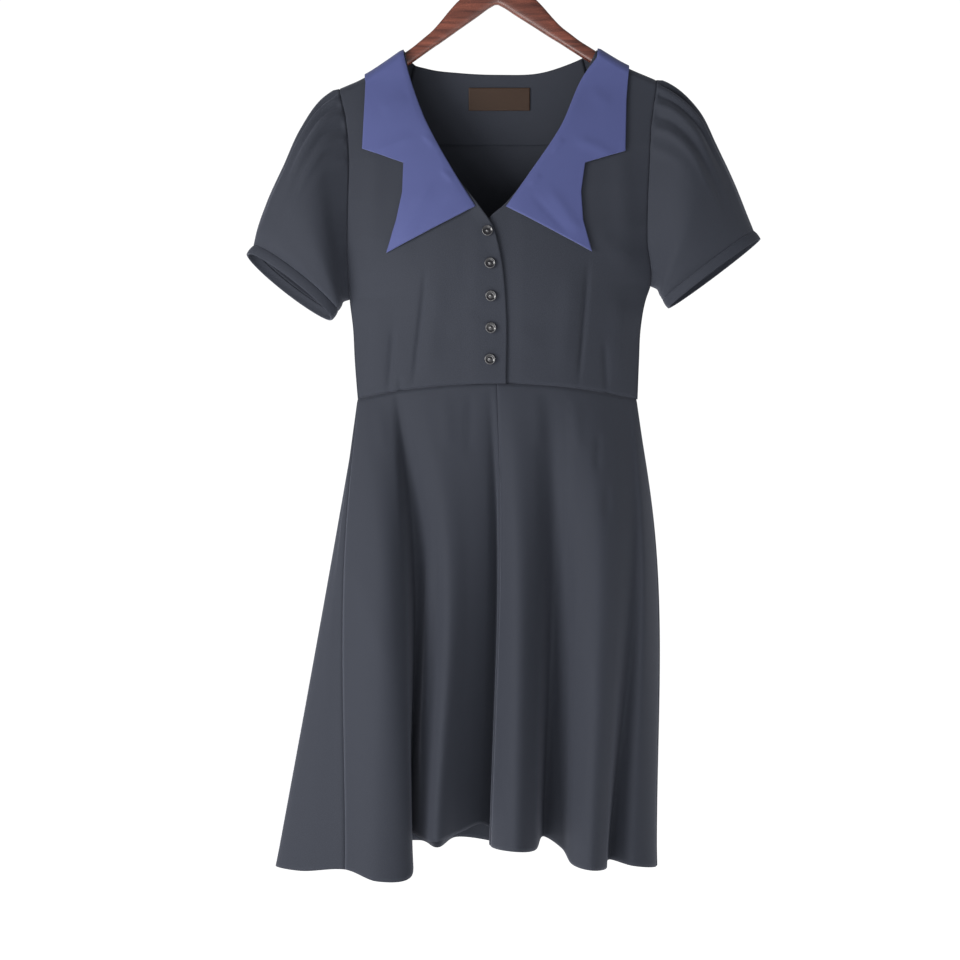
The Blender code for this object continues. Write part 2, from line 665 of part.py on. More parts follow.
# ---------------------------------------------------------------- buttons
def turned(name, profile, segments, look):
    """A closed turned piece: the profile is radius and height, from axis to axis."""
    points = [(0, 0, profile[0][1])]
    for radius, height in profile[1:-1]:
        for k in range(segments):
            angle = 2 * pi * k / segments
            points.append((radius * cos(angle), radius * sin(angle), height))
    points.append((0, 0, profile[-1][1]))
    faces = []
    rings = len(profile) - 2
    for k in range(segments):
        after = (k + 1) % segments
        faces.append((0, 1 + after, 1 + k))
        for r in range(rings - 1):
            a, b = 1 + r * segments, 1 + (r + 1) * segments
            faces.append((a + k, a + after, b + after, b + k))
        top = 1 + (rings - 1) * segments
        faces.append((len(points) - 1, top + k, top + after))
    return add_mesh(name, points, faces, look)


BUTTON_PROFILE = [
    (0, 0),
    (BUTTON_RADIUS * 0.8, 0),
    (BUTTON_RADIUS, BUTTON_THICK * 0.35),
    (BUTTON_RADIUS * 0.92, BUTTON_THICK),
    (BUTTON_RADIUS * 0.66, BUTTON_THICK * 0.72),
    (0, BUTTON_THICK * 0.72),
]
front = front_form(-1)
for number, (x, z) in enumerate(BUTTON_PLACES, 1):
    place = np.array([float(x)]), np.array([float(z)])
    normal = outward(front, *place, -1)[0]
    foot = np.array([x, front(*place)[0], z]) * MM + normal * (CLOTH / 2 + SEAM_GAP + 0.2 * MM)
    button = turned(f"button_{number}", BUTTON_PROFILE, BUTTON_SEGMENTS, BLACK_BUTTON)
    button.location = foot
    button.rotation_euler = (pi / 2 + atan2(-normal[2], -normal[1]), 0, atan2(normal[0], -normal[1]))


# ---------------------------------------------------------------- hanger
def yoke():
    """The wooden shoulders: rounded sections set along X and closed at both ends."""
    stations = sorted({side * row[0] for row in YOKE_SECTIONS for side in (-1, 1)})
    reach = column(YOKE_SECTIONS, 0)
    points = []
    for x in stations:
        high = np.interp(abs(x), reach, column(YOKE_SECTIONS, 1)) + YOKE_TILT * x
        low = np.interp(abs(x), reach, column(YOKE_SECTIONS, 2)) + YOKE_TILT * x
        half = np.interp(abs(x), reach, column(YOKE_SECTIONS, 3))
        for k in range(YOKE_SECTION_POINTS):
            angle = 2 * pi * (k + 0.5) / YOKE_SECTION_POINTS
            across = np.sign(cos(angle)) * abs(cos(angle)) ** YOKE_SQUARENESS * half
            rise = np.sign(sin(angle)) * abs(sin(angle)) ** YOKE_SQUARENESS
            points.append((x, across, (high + low) / 2 + rise * (high - low) / 2))
    n = YOKE_SECTION_POINTS
    faces = [tuple(range(n)), tuple(reversed(range(len(points) - n, len(points))))]
    for s in range(len(stations) - 1):
        for k in range(n):
            a, b = s * n + k, s * n + (k + 1) % n
            faces.append((a, b, b + n, a + n))
    piece = add_mesh("hanger_yoke", np.array(points) * MM, faces, RED_WOOD)
    hole = bpy.data.meshes.new("hook_hole")
    shape = bmesh.new()
    bmesh.ops.create_cone(
        shape, cap_ends=True, segments=12, radius1=HOOK_HOLE, radius2=HOOK_HOLE, depth=2 * HOOK_DEPTH_IN_WOOD
    )
    shape.to_mesh(hole)
    shape.free()
    cutter = bpy.data.objects.new("hook_hole", hole)
    bpy.context.scene.collection.objects.link(cutter)
    cutter.location = (0, 0, YOKE_SECTIONS[0][1] * MM)
    cutter.hide_render = True
    cutter.display_type = "WIRE"
    cut = piece.modifiers.new("hook hole", "BOOLEAN")
    cut.object = cutter
    cut.operation = "DIFFERENCE"


def hook():
    """One wire: a stem, a small bend off it and the round hook, whose inside top is the origin."""
    centre_z = HOOK_WIRE - HOOK_RADIUS
    drop = sqrt((HOOK_RADIUS + HOOK_FILLET) ** 2 - HOOK_FILLET**2)
    bend_z = centre_z - drop
    path = [(0, YOKE_SECTIONS[0][1] * MM - HOOK_DEPTH_IN_WOOD + SEAM_GAP), (0, (bend_z + YOKE_SECTIONS[0][1] * MM) / 2)]
    meet = atan2(drop, HOOK_FILLET)
    for k in range(5):
        angle = meet * k / 4
        path.append((-HOOK_FILLET + HOOK_FILLET * cos(angle), bend_z + HOOK_FILLET * sin(angle)))
    start = meet + pi
    for k in range(1, 19):
        angle = start + (HOOK_END_ANGLE - start) * k / 18
        path.append((HOOK_RADIUS * cos(angle), centre_z + HOOK_RADIUS * sin(angle)))
    curve = bpy.data.curves.new("hanger_hook", "CURVE")
    curve.dimensions = "3D"
    curve.bevel_depth = HOOK_WIRE
    curve.bevel_resolution = 2
    curve.use_fill_caps = True
    line = curve.splines.new("POLY")
    line.points.add(len(path) - 1)
    for point, (x, z) in zip(line.points, path):
        point.co = (x, 0, z, 1)
    piece = bpy.data.objects.new("hanger_hook", curve)
    bpy.context.scene.collection.objects.link(piece)
    curve.materials.append(material("hanger_hook", *STEEL))


yoke()
hook()
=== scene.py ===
from math import atan2, cos, pi, radians, sin, sqrt

import bpy
import numpy as np
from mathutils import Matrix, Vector


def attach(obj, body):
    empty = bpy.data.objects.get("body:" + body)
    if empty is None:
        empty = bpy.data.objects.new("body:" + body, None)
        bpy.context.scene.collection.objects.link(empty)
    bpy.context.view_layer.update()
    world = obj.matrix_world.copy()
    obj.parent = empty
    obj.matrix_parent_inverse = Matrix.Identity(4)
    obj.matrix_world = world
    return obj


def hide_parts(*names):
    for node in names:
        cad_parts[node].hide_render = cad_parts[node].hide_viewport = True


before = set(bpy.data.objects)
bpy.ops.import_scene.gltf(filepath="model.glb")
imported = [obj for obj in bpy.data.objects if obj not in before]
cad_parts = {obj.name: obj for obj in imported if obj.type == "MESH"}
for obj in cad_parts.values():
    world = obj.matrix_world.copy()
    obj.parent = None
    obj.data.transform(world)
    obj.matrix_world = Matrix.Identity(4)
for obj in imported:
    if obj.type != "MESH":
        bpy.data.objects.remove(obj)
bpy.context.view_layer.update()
MM = 0.001

# ================================================================ camera, floor and lights
# The dress hangs free in a white studio. The camera stands level, three metres in front of it and
# a little to the wearer's right of the hook. The floor is a pale sheet well below the hem.
scene = bpy.context.scene
scene.view_settings.view_transform = "Standard"
scene.view_settings.look = "None"
CAMERA_PLACE = (-0.0198, -3.0, -0.672)
VIEW_WIDTH = 1.152
camera_data = bpy.data.cameras.new("studio_camera")
camera_data.sensor_width = 36
camera_data.lens = camera_data.sensor_width * -CAMERA_PLACE[1] / VIEW_WIDTH
camera = bpy.data.objects.new("studio_camera", camera_data)
camera.location = CAMERA_PLACE
camera.rotation_euler = (pi / 2, 0, 0)
scene.collection.objects.link(camera)
scene.camera = camera


def new_material(name):
    """A new material with its nodes, its links and its shader."""
    made = bpy.data.materials.new(name)
    made.use_nodes = True
    nodes = made.node_tree.nodes
    return made, nodes, made.node_tree.links, nodes["Principled BSDF"]


FLOOR_Z = -1.62
floor_mesh = bpy.data.meshes.new("studio_floor")
floor_reach = 9
floor_mesh.from_pydata(
    [(x * floor_reach, y * floor_reach, FLOOR_Z) for x, y in ((-1, -1), (1, -1), (1, 1), (-1, 1))],
    [],
    [(0, 1, 2, 3)],
)
floor = bpy.data.objects.new("studio_floor", floor_mesh)
scene.collection.objects.link(floor)
floor_look, nodes, links, shader = new_material("pale_floor")
shader.inputs["Base Color"].default_value = (0.86, 0.86, 0.86, 1)
shader.inputs["Roughness"].default_value = 0.9
shader.inputs["Emission Color"].default_value = (1, 1, 1, 1)
shader.inputs["Emission Strength"].default_value = 0.74
floor_mesh.materials.append(floor_look)

world = bpy.data.worlds.new("studio_white")
world.use_nodes = True
scene.world = world
nodes, links = world.node_tree.nodes, world.node_tree.links
ground = nodes["Background"]
ground.inputs["Color"].default_value = (1, 1, 1, 1)
seen = nodes.new("ShaderNodeLightPath")
strength = nodes.new("ShaderNodeMapRange")
strength.inputs["To Min"].default_value = 0.33
strength.inputs["To Max"].default_value = 1.05
links.new(seen.outputs["Is Camera Ray"], strength.inputs["Value"])
links.new(strength.outputs["Result"], ground.inputs["Strength"])


def area_light(name, place, aim, size, watts, colour=(1, 1, 1)):
    data = bpy.data.lights.new(name, "AREA")
    data.shape = "DISK"
    data.size = size
    data.energy = watts
    data.color = colour
    lamp = bpy.data.objects.new(name, data)
    lamp.location = place
    lamp.rotation_euler = (Vector(aim) - Vector(place)).to_track_quat("-Z", "Y").to_euler()
    scene.collection.objects.link(lamp)


area_light("window", (-2.3, -1.9, -0.35), (0, 0, -0.7), 1.5, 92, (1, 0.985, 0.96))
area_light("low_bounce", (-0.6, -2.2, -1.55), (0, 0, -0.95), 1.2, 26)
area_light("rim_right", (2.6, 0.6, 0.1), (0, 0, -0.6), 1.2, 16)


# ================================================================ wooden hanger
# A flat shaped hanger of stained hardwood: two arms cut in one bow, edges rounded over, satin
# lacquer. It hangs a little down on the wearer's right, so the whole bow is tilted.
def smooth_between(at, keys, values):
    """Reads a table of values between its keys, with no corner at a key."""
    keys = np.asarray(keys, float)
    values = np.asarray(values, float)
    slopes = np.gradient(values, keys, axis=0)
    at = np.clip(np.asarray(at, float), keys[0], keys[-1])
    i = np.clip(np.searchsorted(keys, at) - 1, 0, len(keys) - 2)
    span = keys[i + 1] - keys[i]
    t = (at - keys[i]) / span
    start = (2 * t**3 - 3 * t**2 + 1) * values[i] + (t**3 - 2 * t**2 + t) * span * slopes[i]
    end = (3 * t**2 - 2 * t**3) * values[i + 1] + (t**3 - t**2) * span * slopes[i + 1]
    return start + end


def column(rows, index):
    return np.array([row[index] for row in rows], float)


def grid_faces(rows, columns, wrap):
    """Quads of a grid, row by row; wrap joins the last column to the first."""
    i, j = np.meshgrid(np.arange(rows - 1), np.arange(columns if wrap else columns - 1), indexing="ij")
    after = (j + 1) % columns
    quads = np.stack([i * columns + j, i * columns + after, (i + 1) * columns + after, (i + 1) * columns + j])
    return quads.reshape(4, -1).T


def put(name, points, faces, look):
    """Makes a smooth piece that rides on the dress's one body."""
    mesh = bpy.data.meshes.new(name)
    mesh.from_pydata([tuple(p) for p in points], [], [tuple(int(k) for k in face) for face in faces])
    mesh.shade_smooth()
    mesh.materials.append(look)
    piece = bpy.data.objects.new(name, mesh)
    scene.collection.objects.link(piece)
    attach(piece, "root")
    return piece


# distance from the middle, top edge and lower edge of the wood, half thickness
YOKE_SECTIONS = [
    (0, -74, -101, 6.0),
    (10, -75.5, -106.5, 6.0),
    (22, -80, -115, 6.0),
    (34, -86.5, -123, 6.0),
    (46, -96, -131, 6.0),
    (57, -107.7, -138.5, 6.0),
    (66, -118.5, -144.5, 6.0),
    (77, -130.5, -151.5, 6.0),
    (88, -139.5, -159, 6.0),
    (100, -149, -167, 6.0),
    (112, -157, -175, 6.0),
    (130, -169, -187, 6.0),
    (150, -181.5, -199.5, 5.8),
    (168, -190.5, -207.5, 5.4),
    (178, -195, -210.5, 5.0),
    (183, -198.5, -208.5, 3.0),
]
YOKE_TILT = 0.035
YOKE_STEPS = 150
YOKE_POINTS = 36
EDGE_ROUNDING = 0.62

wood, nodes, links, shader = new_material("stained_hardwood")
place = nodes.new("ShaderNodeTexCoord")
stretch = nodes.new("ShaderNodeMapping")
stretch.inputs["Scale"].default_value = (9, 120, 120)
figure = nodes.new("ShaderNodeTexNoise")
figure.inputs["Scale"].default_value = 1.6
figure.inputs["Detail"].default_value = 7
figure.inputs["Distortion"].default_value = 0.5
pores = nodes.new("ShaderNodeTexNoise")
pores.inputs["Scale"].default_value = 9
pores.inputs["Detail"].default_value = 3
stain = nodes.new("ShaderNodeValToRGB")
stain.color_ramp.elements[0].position = 0.32
stain.color_ramp.elements[0].color = (0.045, 0.011, 0.007, 1)
stain.color_ramp.elements[1].position = 0.68
stain.color_ramp.elements[1].color = (0.165, 0.043, 0.024, 1)
gloss = nodes.new("ShaderNodeMapRange")
gloss.inputs["To Min"].default_value = 0.28
gloss.inputs["To Max"].default_value = 0.5
relief = nodes.new("ShaderNodeBump")
relief.inputs["Strength"].default_value = 0.25
relief.inputs["Distance"].default_value = 0.0004
links.new(place.outputs["Object"], stretch.inputs["Vector"])
links.new(stretch.outputs["Vector"], figure.inputs["Vector"])
links.new(stretch.outputs["Vector"], pores.inputs["Vector"])
links.new(figure.outputs["Fac"], stain.inputs["Fac"])
links.new(stain.outputs["Color"], shader.inputs["Base Color"])
links.new(figure.outputs["Fac"], gloss.inputs["Value"])
links.new(gloss.outputs["Result"], shader.inputs["Roughness"])
links.new(pores.outputs["Fac"], relief.inputs["Height"])
links.new(relief.outputs["Normal"], shader.inputs["Normal"])
shader.inputs["Coat Weight"].default_value = 0.35
shader.inputs["Coat Roughness"].default_value = 0.22

reach = YOKE_SECTIONS[-1][0]
along = reach * np.sin(np.linspace(-pi / 2, pi / 2, YOKE_STEPS))
high = smooth_between(np.abs(along), column(YOKE_SECTIONS, 0), column(YOKE_SECTIONS, 1)) + YOKE_TILT * along
low = smooth_between(np.abs(along), column(YOKE_SECTIONS, 0), column(YOKE_SECTIONS, 2)) + YOKE_TILT * along
half = np.interp(np.abs(along), column(YOKE_SECTIONS, 0), column(YOKE_SECTIONS, 3))
angles = 2 * pi * np.arange(YOKE_POINTS) / YOKE_POINTS
across = np.sign(np.cos(angles)) * np.abs(np.cos(angles)) ** EDGE_ROUNDING
rise = np.sign(np.sin(angles)) * np.abs(np.sin(angles)) ** EDGE_ROUNDING
yoke_points = np.stack(
    [
        np.repeat(along[:, None], YOKE_POINTS, axis=1),
        half[:, None] * across,
        (high + low)[:, None] / 2 + rise * (high - low)[:, None] / 2,
    ],
    axis=-1,
).reshape(-1, 3)
yoke_faces = [tuple(face) for face in grid_faces(YOKE_STEPS, YOKE_POINTS, True)[:, ::-1]]
yoke_faces.append(tuple(range(YOKE_POINTS)))
yoke_faces.append(tuple(reversed(range(len(yoke_points) - YOKE_POINTS, len(yoke_points)))))
yoke = put("hanger_wood", yoke_points * MM, yoke_faces, wood)
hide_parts("hanger_yoke")

# ================================================================ hanger hook
# A bright steel wire, bent in one round hook over a short stem that is driven into the wood. Its
# end is filed round. The inside of the round is where the rail carries it.
HOOK_WIRE = 1.8 * MM
HOOK_RADIUS = 16.0 * MM
HOOK_FILLET = 14.0 * MM
HOOK_END_ANGLE = radians(-35)
STEM_FOOT = -91.0 * MM

steel, nodes, links, shader = new_material("bright_wire")
shader.inputs["Base Color"].default_value = (0.62, 0.62, 0.63, 1)
shader.inputs["Metallic"].default_value = 1
drawn = nodes.new("ShaderNodeTexNoise")
drawn.inputs["Scale"].default_value = 900
drawn_gloss = nodes.new("ShaderNodeMapRange")
drawn_gloss.inputs["To Min"].default_value = 0.16
drawn_gloss.inputs["To Max"].default_value = 0.34
links.new(drawn.outputs["Fac"], drawn_gloss.inputs["Value"])
links.new(drawn_gloss.outputs["Result"], shader.inputs["Roughness"])

centre_z = HOOK_WIRE - HOOK_RADIUS
drop = sqrt((HOOK_RADIUS + HOOK_FILLET) ** 2 - HOOK_FILLET**2)
meet = atan2(drop, HOOK_FILLET)
hook_path = [(0, STEM_FOOT), (0, centre_z - drop - 18 * MM), (0, centre_z - drop - 6 * MM)]
for angle in np.linspace(0, meet, 10):
    hook_path.append((HOOK_FILLET * (cos(angle) - 1), centre_z - drop + HOOK_FILLET * sin(angle)))
for angle in np.linspace(meet + pi, HOOK_END_ANGLE, 48)[1:]:
    hook_path.append((HOOK_RADIUS * cos(angle), centre_z + HOOK_RADIUS * sin(angle)))
hook_path = np.array(hook_path)
heading = np.gradient(hook_path, axis=0)
heading /= np.linalg.norm(heading, axis=1, keepdims=True)
turns = np.linspace(0, 2 * pi, 20, endpoint=False)
end_sizes = np.ones(len(hook_path))
end_sizes[-1] = 0.55
hook_points = [
    (x + h[1] * cos(t) * HOOK_WIRE * s, sin(t) * HOOK_WIRE * s, z - h[0] * cos(t) * HOOK_WIRE * s)
    for (x, z), h, s in zip(hook_path, heading, end_sizes)
    for t in turns
]
hook_faces = [tuple(face) for face in grid_faces(len(hook_path), len(turns), True)[:, ::-1]]
hook_faces.append(tuple(range(len(turns))))
hook_faces.append(tuple(reversed(range(len(hook_points) - len(turns), len(hook_points)))))
hook = put("hook_wire", hook_points, hook_faces, steel)
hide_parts("hanger_hook")

# ================================================================ crepe
# The dress is cut from a matt black-blue polyester crepe. Hard-twisted threads give it a pebbled
# grain under a millimetre across, a dry hand and a faint bloom where it turns from the light.
grain = bpy.data.node_groups.new("cloth_grain", "ShaderNodeTree")
grain.interface.new_socket("Vector", in_out="INPUT", socket_type="NodeSocketVector")
thread_socket = grain.interface.new_socket("Threads per metre", in_out="INPUT", socket_type="NodeSocketFloat")
thread_socket.default_value = 1500
grain.interface.new_socket("Pebble", in_out="INPUT", socket_type="NodeSocketFloat").default_value = 0.5
grain.interface.new_socket("Shade", in_out="OUTPUT", socket_type="NodeSocketFloat")
grain.interface.new_socket("Height", in_out="OUTPUT", socket_type="NodeSocketFloat")
g_nodes, g_links = grain.nodes, grain.links
g_in = g_nodes.new("NodeGroupInput")
g_out = g_nodes.new("NodeGroupOutput")


def math_node(nodes, links, operation, first, second=None):
    node = nodes.new("ShaderNodeMath")
    node.operation = operation
    for socket, value in zip(node.inputs, (first, second)):
        if value is None:
            continue
        if isinstance(value, (int, float)):
            socket.default_value = value
        else:
            links.new(value, socket)
    return node.outputs[0]


g_scaled = g_nodes.new("ShaderNodeVectorMath")
g_scaled.operation = "SCALE"
g_links.new(g_in.outputs["Vector"], g_scaled.inputs[0])
g_links.new(g_in.outputs["Threads per metre"], g_scaled.inputs["Scale"])
g_split = g_nodes.new("ShaderNodeSeparateXYZ")
g_wobble = g_nodes.new("ShaderNodeTexNoise")
g_wobble.inputs["Scale"].default_value = 0.35
g_links.new(g_scaled.outputs[0], g_wobble.inputs["Vector"])
g_links.new(g_scaled.outputs[0], g_split.inputs[0])
g_shift = math_node(g_nodes, g_links, "MULTIPLY", g_wobble.outputs["Fac"], 2.4)
g_warp = math_node(g_nodes, g_links, "SINE", math_node(g_nodes, g_links, "ADD", g_split.outputs[0], g_shift))
g_weft = math_node(g_nodes, g_links, "SINE", math_node(g_nodes, g_links, "ADD", g_split.outputs[1], g_shift))
g_weave = math_node(g_nodes, g_links, "MULTIPLY", g_warp, g_weft)
g_pebble = g_nodes.new("ShaderNodeTexNoise")
g_pebble.inputs["Scale"].default_value = 0.24
g_pebble.inputs["Detail"].default_value = 2
g_links.new(g_scaled.outputs[0], g_pebble.inputs["Vector"])
g_raised = math_node(g_nodes, g_links, "MULTIPLY", g_pebble.outputs["Fac"], g_in.outputs["Pebble"])
g_low_weave = math_node(g_nodes, g_links, "MULTIPLY", g_weave, 0.22)
g_height = math_node(g_nodes, g_links, "ADD", g_raised, g_low_weave)
g_cloud = g_nodes.new("ShaderNodeTexNoise")
g_cloud.inputs["Scale"].default_value = 0.28
g_cloud.inputs["Detail"].default_value = 4
g_links.new(g_scaled.outputs[0], g_cloud.inputs["Vector"])
g_links.new(g_height, g_out.inputs["Height"])
# Painted shade: the tone follows the grain's own relief, lighter on the raised pebbles and threads and darker
# in the hollows between them, laid over a random cloudy tone.
g_hollow_shade = math_node(g_nodes, g_links, "MULTIPLY", g_height, 0.6)
g_shade = math_node(g_nodes, g_links, "ADD", g_hollow_shade, g_cloud.outputs["Fac"])
g_links.new(math_node(g_nodes, g_links, "SUBTRACT", g_shade, 0.15), g_out.inputs["Shade"])


def cloth_material(name, dark, light, threads, pebble, rough, bump_mm, sheen, sheen_tint):
    made, nodes, links, shader = new_material(name)
    where = nodes.new("ShaderNodeUVMap")
    where.uv_map = "cloth"
    weave = nodes.new("ShaderNodeGroup")
    weave.node_tree = grain
    weave.inputs["Threads per metre"].default_value = threads
    weave.inputs["Pebble"].default_value = pebble
    tone = nodes.new("ShaderNodeMix")
    tone.data_type = "RGBA"
    tone.inputs["A"].default_value = (*dark, 1)
    tone.inputs["B"].default_value = (*light, 1)
    relief = nodes.new("ShaderNodeBump")
    relief.inputs["Strength"].default_value = 0.55
    relief.inputs["Distance"].default_value = bump_mm * MM
    links.new(where.outputs["UV"], weave.inputs["Vector"])
    links.new(weave.outputs["Shade"], tone.inputs["Factor"])
    links.new(tone.outputs["Result"], shader.inputs["Base Color"])
    links.new(weave.outputs["Height"], relief.inputs["Height"])
    links.new(relief.outputs["Normal"], shader.inputs["Normal"])
    shader.inputs["Roughness"].default_value = rough
    shader.inputs["Specular IOR Level"].default_value = 0.22
    shader.inputs["Sheen Weight"].default_value = sheen
    shader.inputs["Sheen Roughness"].default_value = 0.45
    shader.inputs["Sheen Tint"].default_value = (*sheen_tint, 1)
    return made


crepe = cloth_material(
    "black_blue_crepe",
    dark=(0.008, 0.0098, 0.0148),
    light=(0.031, 0.035, 0.048),
    threads=4200,
    pebble=0.8,
    rough=0.8,
    bump_mm=0.3,
    sheen=0.13,
    sheen_tint=(0.75, 0.8, 1.0),
)


def length_shares(line):
    """How far along a line each of its points is, from 0 to 1."""
    steps = np.concatenate([[0], np.cumsum(np.linalg.norm(np.diff(line, axis=0), axis=1))])
    return steps / steps[-1]


def spline(points, shares):
    """Points at the given shares of the length of a smooth curve through the points."""
    points = np.asarray(points, float)
    knots = np.concatenate([[0], np.cumsum(np.linalg.norm(np.diff(points, axis=0), axis=1))])
    fine = np.linspace(0, knots[-1], 40 * len(points))
    line = np.stack([smooth_between(fine, knots, points[:, k]) for k in range(points.shape[1])], axis=1)
    steps = length_shares(line)
    return np.stack([np.interp(shares, steps, line[:, k]) for k in range(points.shape[1])], axis=1)


def coons(bottom, top, side_a, side_b):
    """A grid between four edges that share their corners; rows run from bottom to top."""
    v = (length_shares(side_a) + length_shares(side_b))[:, None, None] / 2
    u = (length_shares(bottom) + length_shares(top))[None, :, None] / 2
    across = (1 - u) * side_a[:, None] + u * side_b[:, None]
    upward = (1 - v) * bottom[None] + v * top[None]
    corners = (1 - v) * ((1 - u) * bottom[0] + u * bottom[-1]) + v * ((1 - u) * top[0] + u * top[-1])
    return across + upward - corners


def cloth(name, grid, look, thick, hem=None, thin_share=0.6, wrap=False):
    """One piece of cloth: a fine grid in metres with a map in metres of cloth, given its thickness.

    hem holds a weight for each point: 1 where the edge is turned and doubled, 0 in the open cloth.
    """
    rows, columns = grid.shape[:2]
    faces = grid_faces(rows, columns, wrap)
    piece = put(name, grid.reshape(-1, 3), faces, look)
    around = np.linalg.norm(np.diff(grid, axis=1, append=grid[:, :1]), axis=-1).mean(axis=0)
    upward = np.linalg.norm(np.diff(grid, axis=0), axis=-1).mean(axis=1)
    u = np.concatenate([[0], np.cumsum(around)])
    v = np.concatenate([[0], np.cumsum(upward)])
    i, j = np.meshgrid(np.arange(rows - 1), np.arange(columns if wrap else columns - 1), indexing="ij")
    corner_u = np.stack([u[j], u[j + 1], u[j + 1], u[j]], axis=-1)
    corner_v = np.stack([v[i], v[i], v[i + 1], v[i + 1]], axis=-1)
    layer = piece.data.uv_layers.new(name="cloth")
    layer.uv.foreach_set("vector", np.stack([corner_u, corner_v], axis=-1).astype(np.float32).ravel())
    thickness = piece.modifiers.new("thickness", "SOLIDIFY")
    thickness.thickness = thick
    thickness.offset = 0
    if hem is not None:
        group = piece.vertex_groups.new(name="hem")
        weights = np.round(np.broadcast_to(hem, (rows, columns)).ravel(), 2)
        for weight in np.unique(weights):
            group.add([int(k) for k in np.nonzero(weights == weight)[0]], float(weight), "REPLACE")
        thickness.vertex_group = "hem"
        thickness.thickness_vertex_group = thin_share
    return piece


def near_edge(grid, edges, reach):
    """Weight of 1 at the named edges of a grid, falling to 0 at reach metres in from them."""
    weight = np.zeros(grid.shape[:2])
    steps_up = np.linalg.norm(np.diff(grid, axis=0), axis=-1)
    steps_across = np.linalg.norm(np.diff(grid, axis=1), axis=-1)
    up = np.concatenate([np.zeros((1, grid.shape[1])), np.cumsum(steps_up, axis=0)])
    across = np.concatenate([np.zeros((grid.shape[0], 1)), np.cumsum(steps_across, axis=1)], axis=1)
    distance = {
        "low": up,
        "high": up[-1:] - up,
        "first": across,
        "last": across[:, -1:] - across,
    }
    for edge in edges:
        weight = np.maximum(weight, np.clip(1 - distance[edge] / reach, 0, 1))
    return weight


def folds(x, z, rows):
    """Height in millimetres of soft folds: each row is a line x, z to x, z, its width and its rise."""
    rise = np.zeros(np.broadcast(x, z).shape)
    for _, x0, z0, x1, z1, width, height in rows:
        length = sqrt((x1 - x0) ** 2 + (z1 - z0) ** 2)
        along = ((x - x0) * (x1 - x0) + (z - z0) * (z1 - z0)) / length**2
        off = ((x - x0) * (z1 - z0) - (z - z0) * (x1 - x0)) / length
        fade = np.clip(along * 3.2, 0, 1) * np.clip((1 - along) * 3.2, 0, 1)
        fade = fade * fade * (3 - 2 * fade)
        rise = rise + height * fade * np.exp(-((off / width) ** 2))
    return rise


# ================================================================ back of the bodice
# One piece of crepe from side seam to side seam, taken in by two long darts above the waist. Its
# neck edge is faced, and its armholes and shoulders are sewn to the sleeves and fronts.
WAIST_CENTRE_Z = -558.0
WAIST_SIDE_DROP = 17.0
WAIST_HALF = 168.0
UNDERARM_RIGHT_Z = -455.0
UNDERARM_LEFT_Z = -439.0
NECK_RIGHT_X = -110.0
NECK_LEFT_X = 120.0
TIP_RIGHT_X = -189.0
TIP_LEFT_X = 191.0
TIP_SLOPE = 0.42
SIDE_ROUNDING = 2.4
SHOULDER_ROLL = 10.0
CAD_CLOTH_MM = 1.5
SEAM_GAP_MM = 0.3
CLOTH_THICK = 1.7 * MM
NECK_TURNING = 9 * MM

# height, wearer's right edge, left edge, depth at the middle of the front and of the back
BODICE_SECTIONS = [
    (-580, -166, 169, -42, 30),
    (-528, -170, 171, -47, 35),
    (-490, -172, 173, -51, 39),
    (-456, -176, 179, -57, 42),
    (-438, -177, 185, -59, 43),
    (-386, -178, 180, -59, 44),
    (-339, -177, 180, -54, 42),
    (-292, -176, 182, -46, 38),
    (-243, -180, 185, -36, 32),
    (-200, -189, 191, -22, 26),
    (-150, -192, 194, -16, 20),
]
# height above the underarm, depth of the armhole's front edge and of its back edge
ARMHOLE_SECTIONS = [
    (-60, 0, 0),
    (0, 0, 0),
    (35, -14, 9),
    (70, -24, 15),
    (115, -29, 19),
    (165, -28, 20),
    (212, -22, 18),
    (260, -14, 14),
]
BACK_NECK = [(-102, -169), (-84, -175), (-44, -180), (4, -182), (53, -180), (92, -168), (113, -159)]
SIDE_STEPS = 34
ARM_STEPS = 84
FRONT_STEPS = 96
NECK_STEPS = 72

BACK_FOLDS = [
    ("right dart", -72, -566, -64, -430, 3.0, -2.2),
    ("left dart", 74, -566, 67, -424, 3.0, -2.0),
    ("right dart swell", -92, -566, -84, -440, 12, 2.2),
    ("left dart swell", 94, -566, 86, -436, 12, 1.8),
    ("shoulder blade drag right", -168, -330, -70, -360, 16, 1.8),
    ("shoulder blade drag left", 170, -318, 66, -352, 18, 1.6),
    ("hanging fold right", -150, -520, -138, -250, 15, 2.6),
    ("hanging fold left", 156, -500, 146, -260, 13, 2.2),
    ("middle fold", -22, -540, -10, -300, 20, -1.8),
    ("small waist fold", 28, -566, 34, -500, 9, 1.2),
]


def shoulder_z(x):
    """The shoulder seam rests on the wood; past its end it carries on at the same slope."""
    end = YOKE_SECTIONS[-3][0]
    beyond = np.maximum(np.abs(x) - end, 0)
    inside = np.clip(x, -end, end)
    wood_top = smooth_between(np.abs(inside), column(YOKE_SECTIONS, 0), column(YOKE_SECTIONS, 1))
    return wood_top + YOKE_TILT * inside - beyond * TIP_SLOPE + CAD_CLOTH_MM / 2 + 2 * SEAM_GAP_MM


def waist_z(x):
    return WAIST_CENTRE_Z - WAIST_SIDE_DROP * (x / WAIST_HALF) ** 2


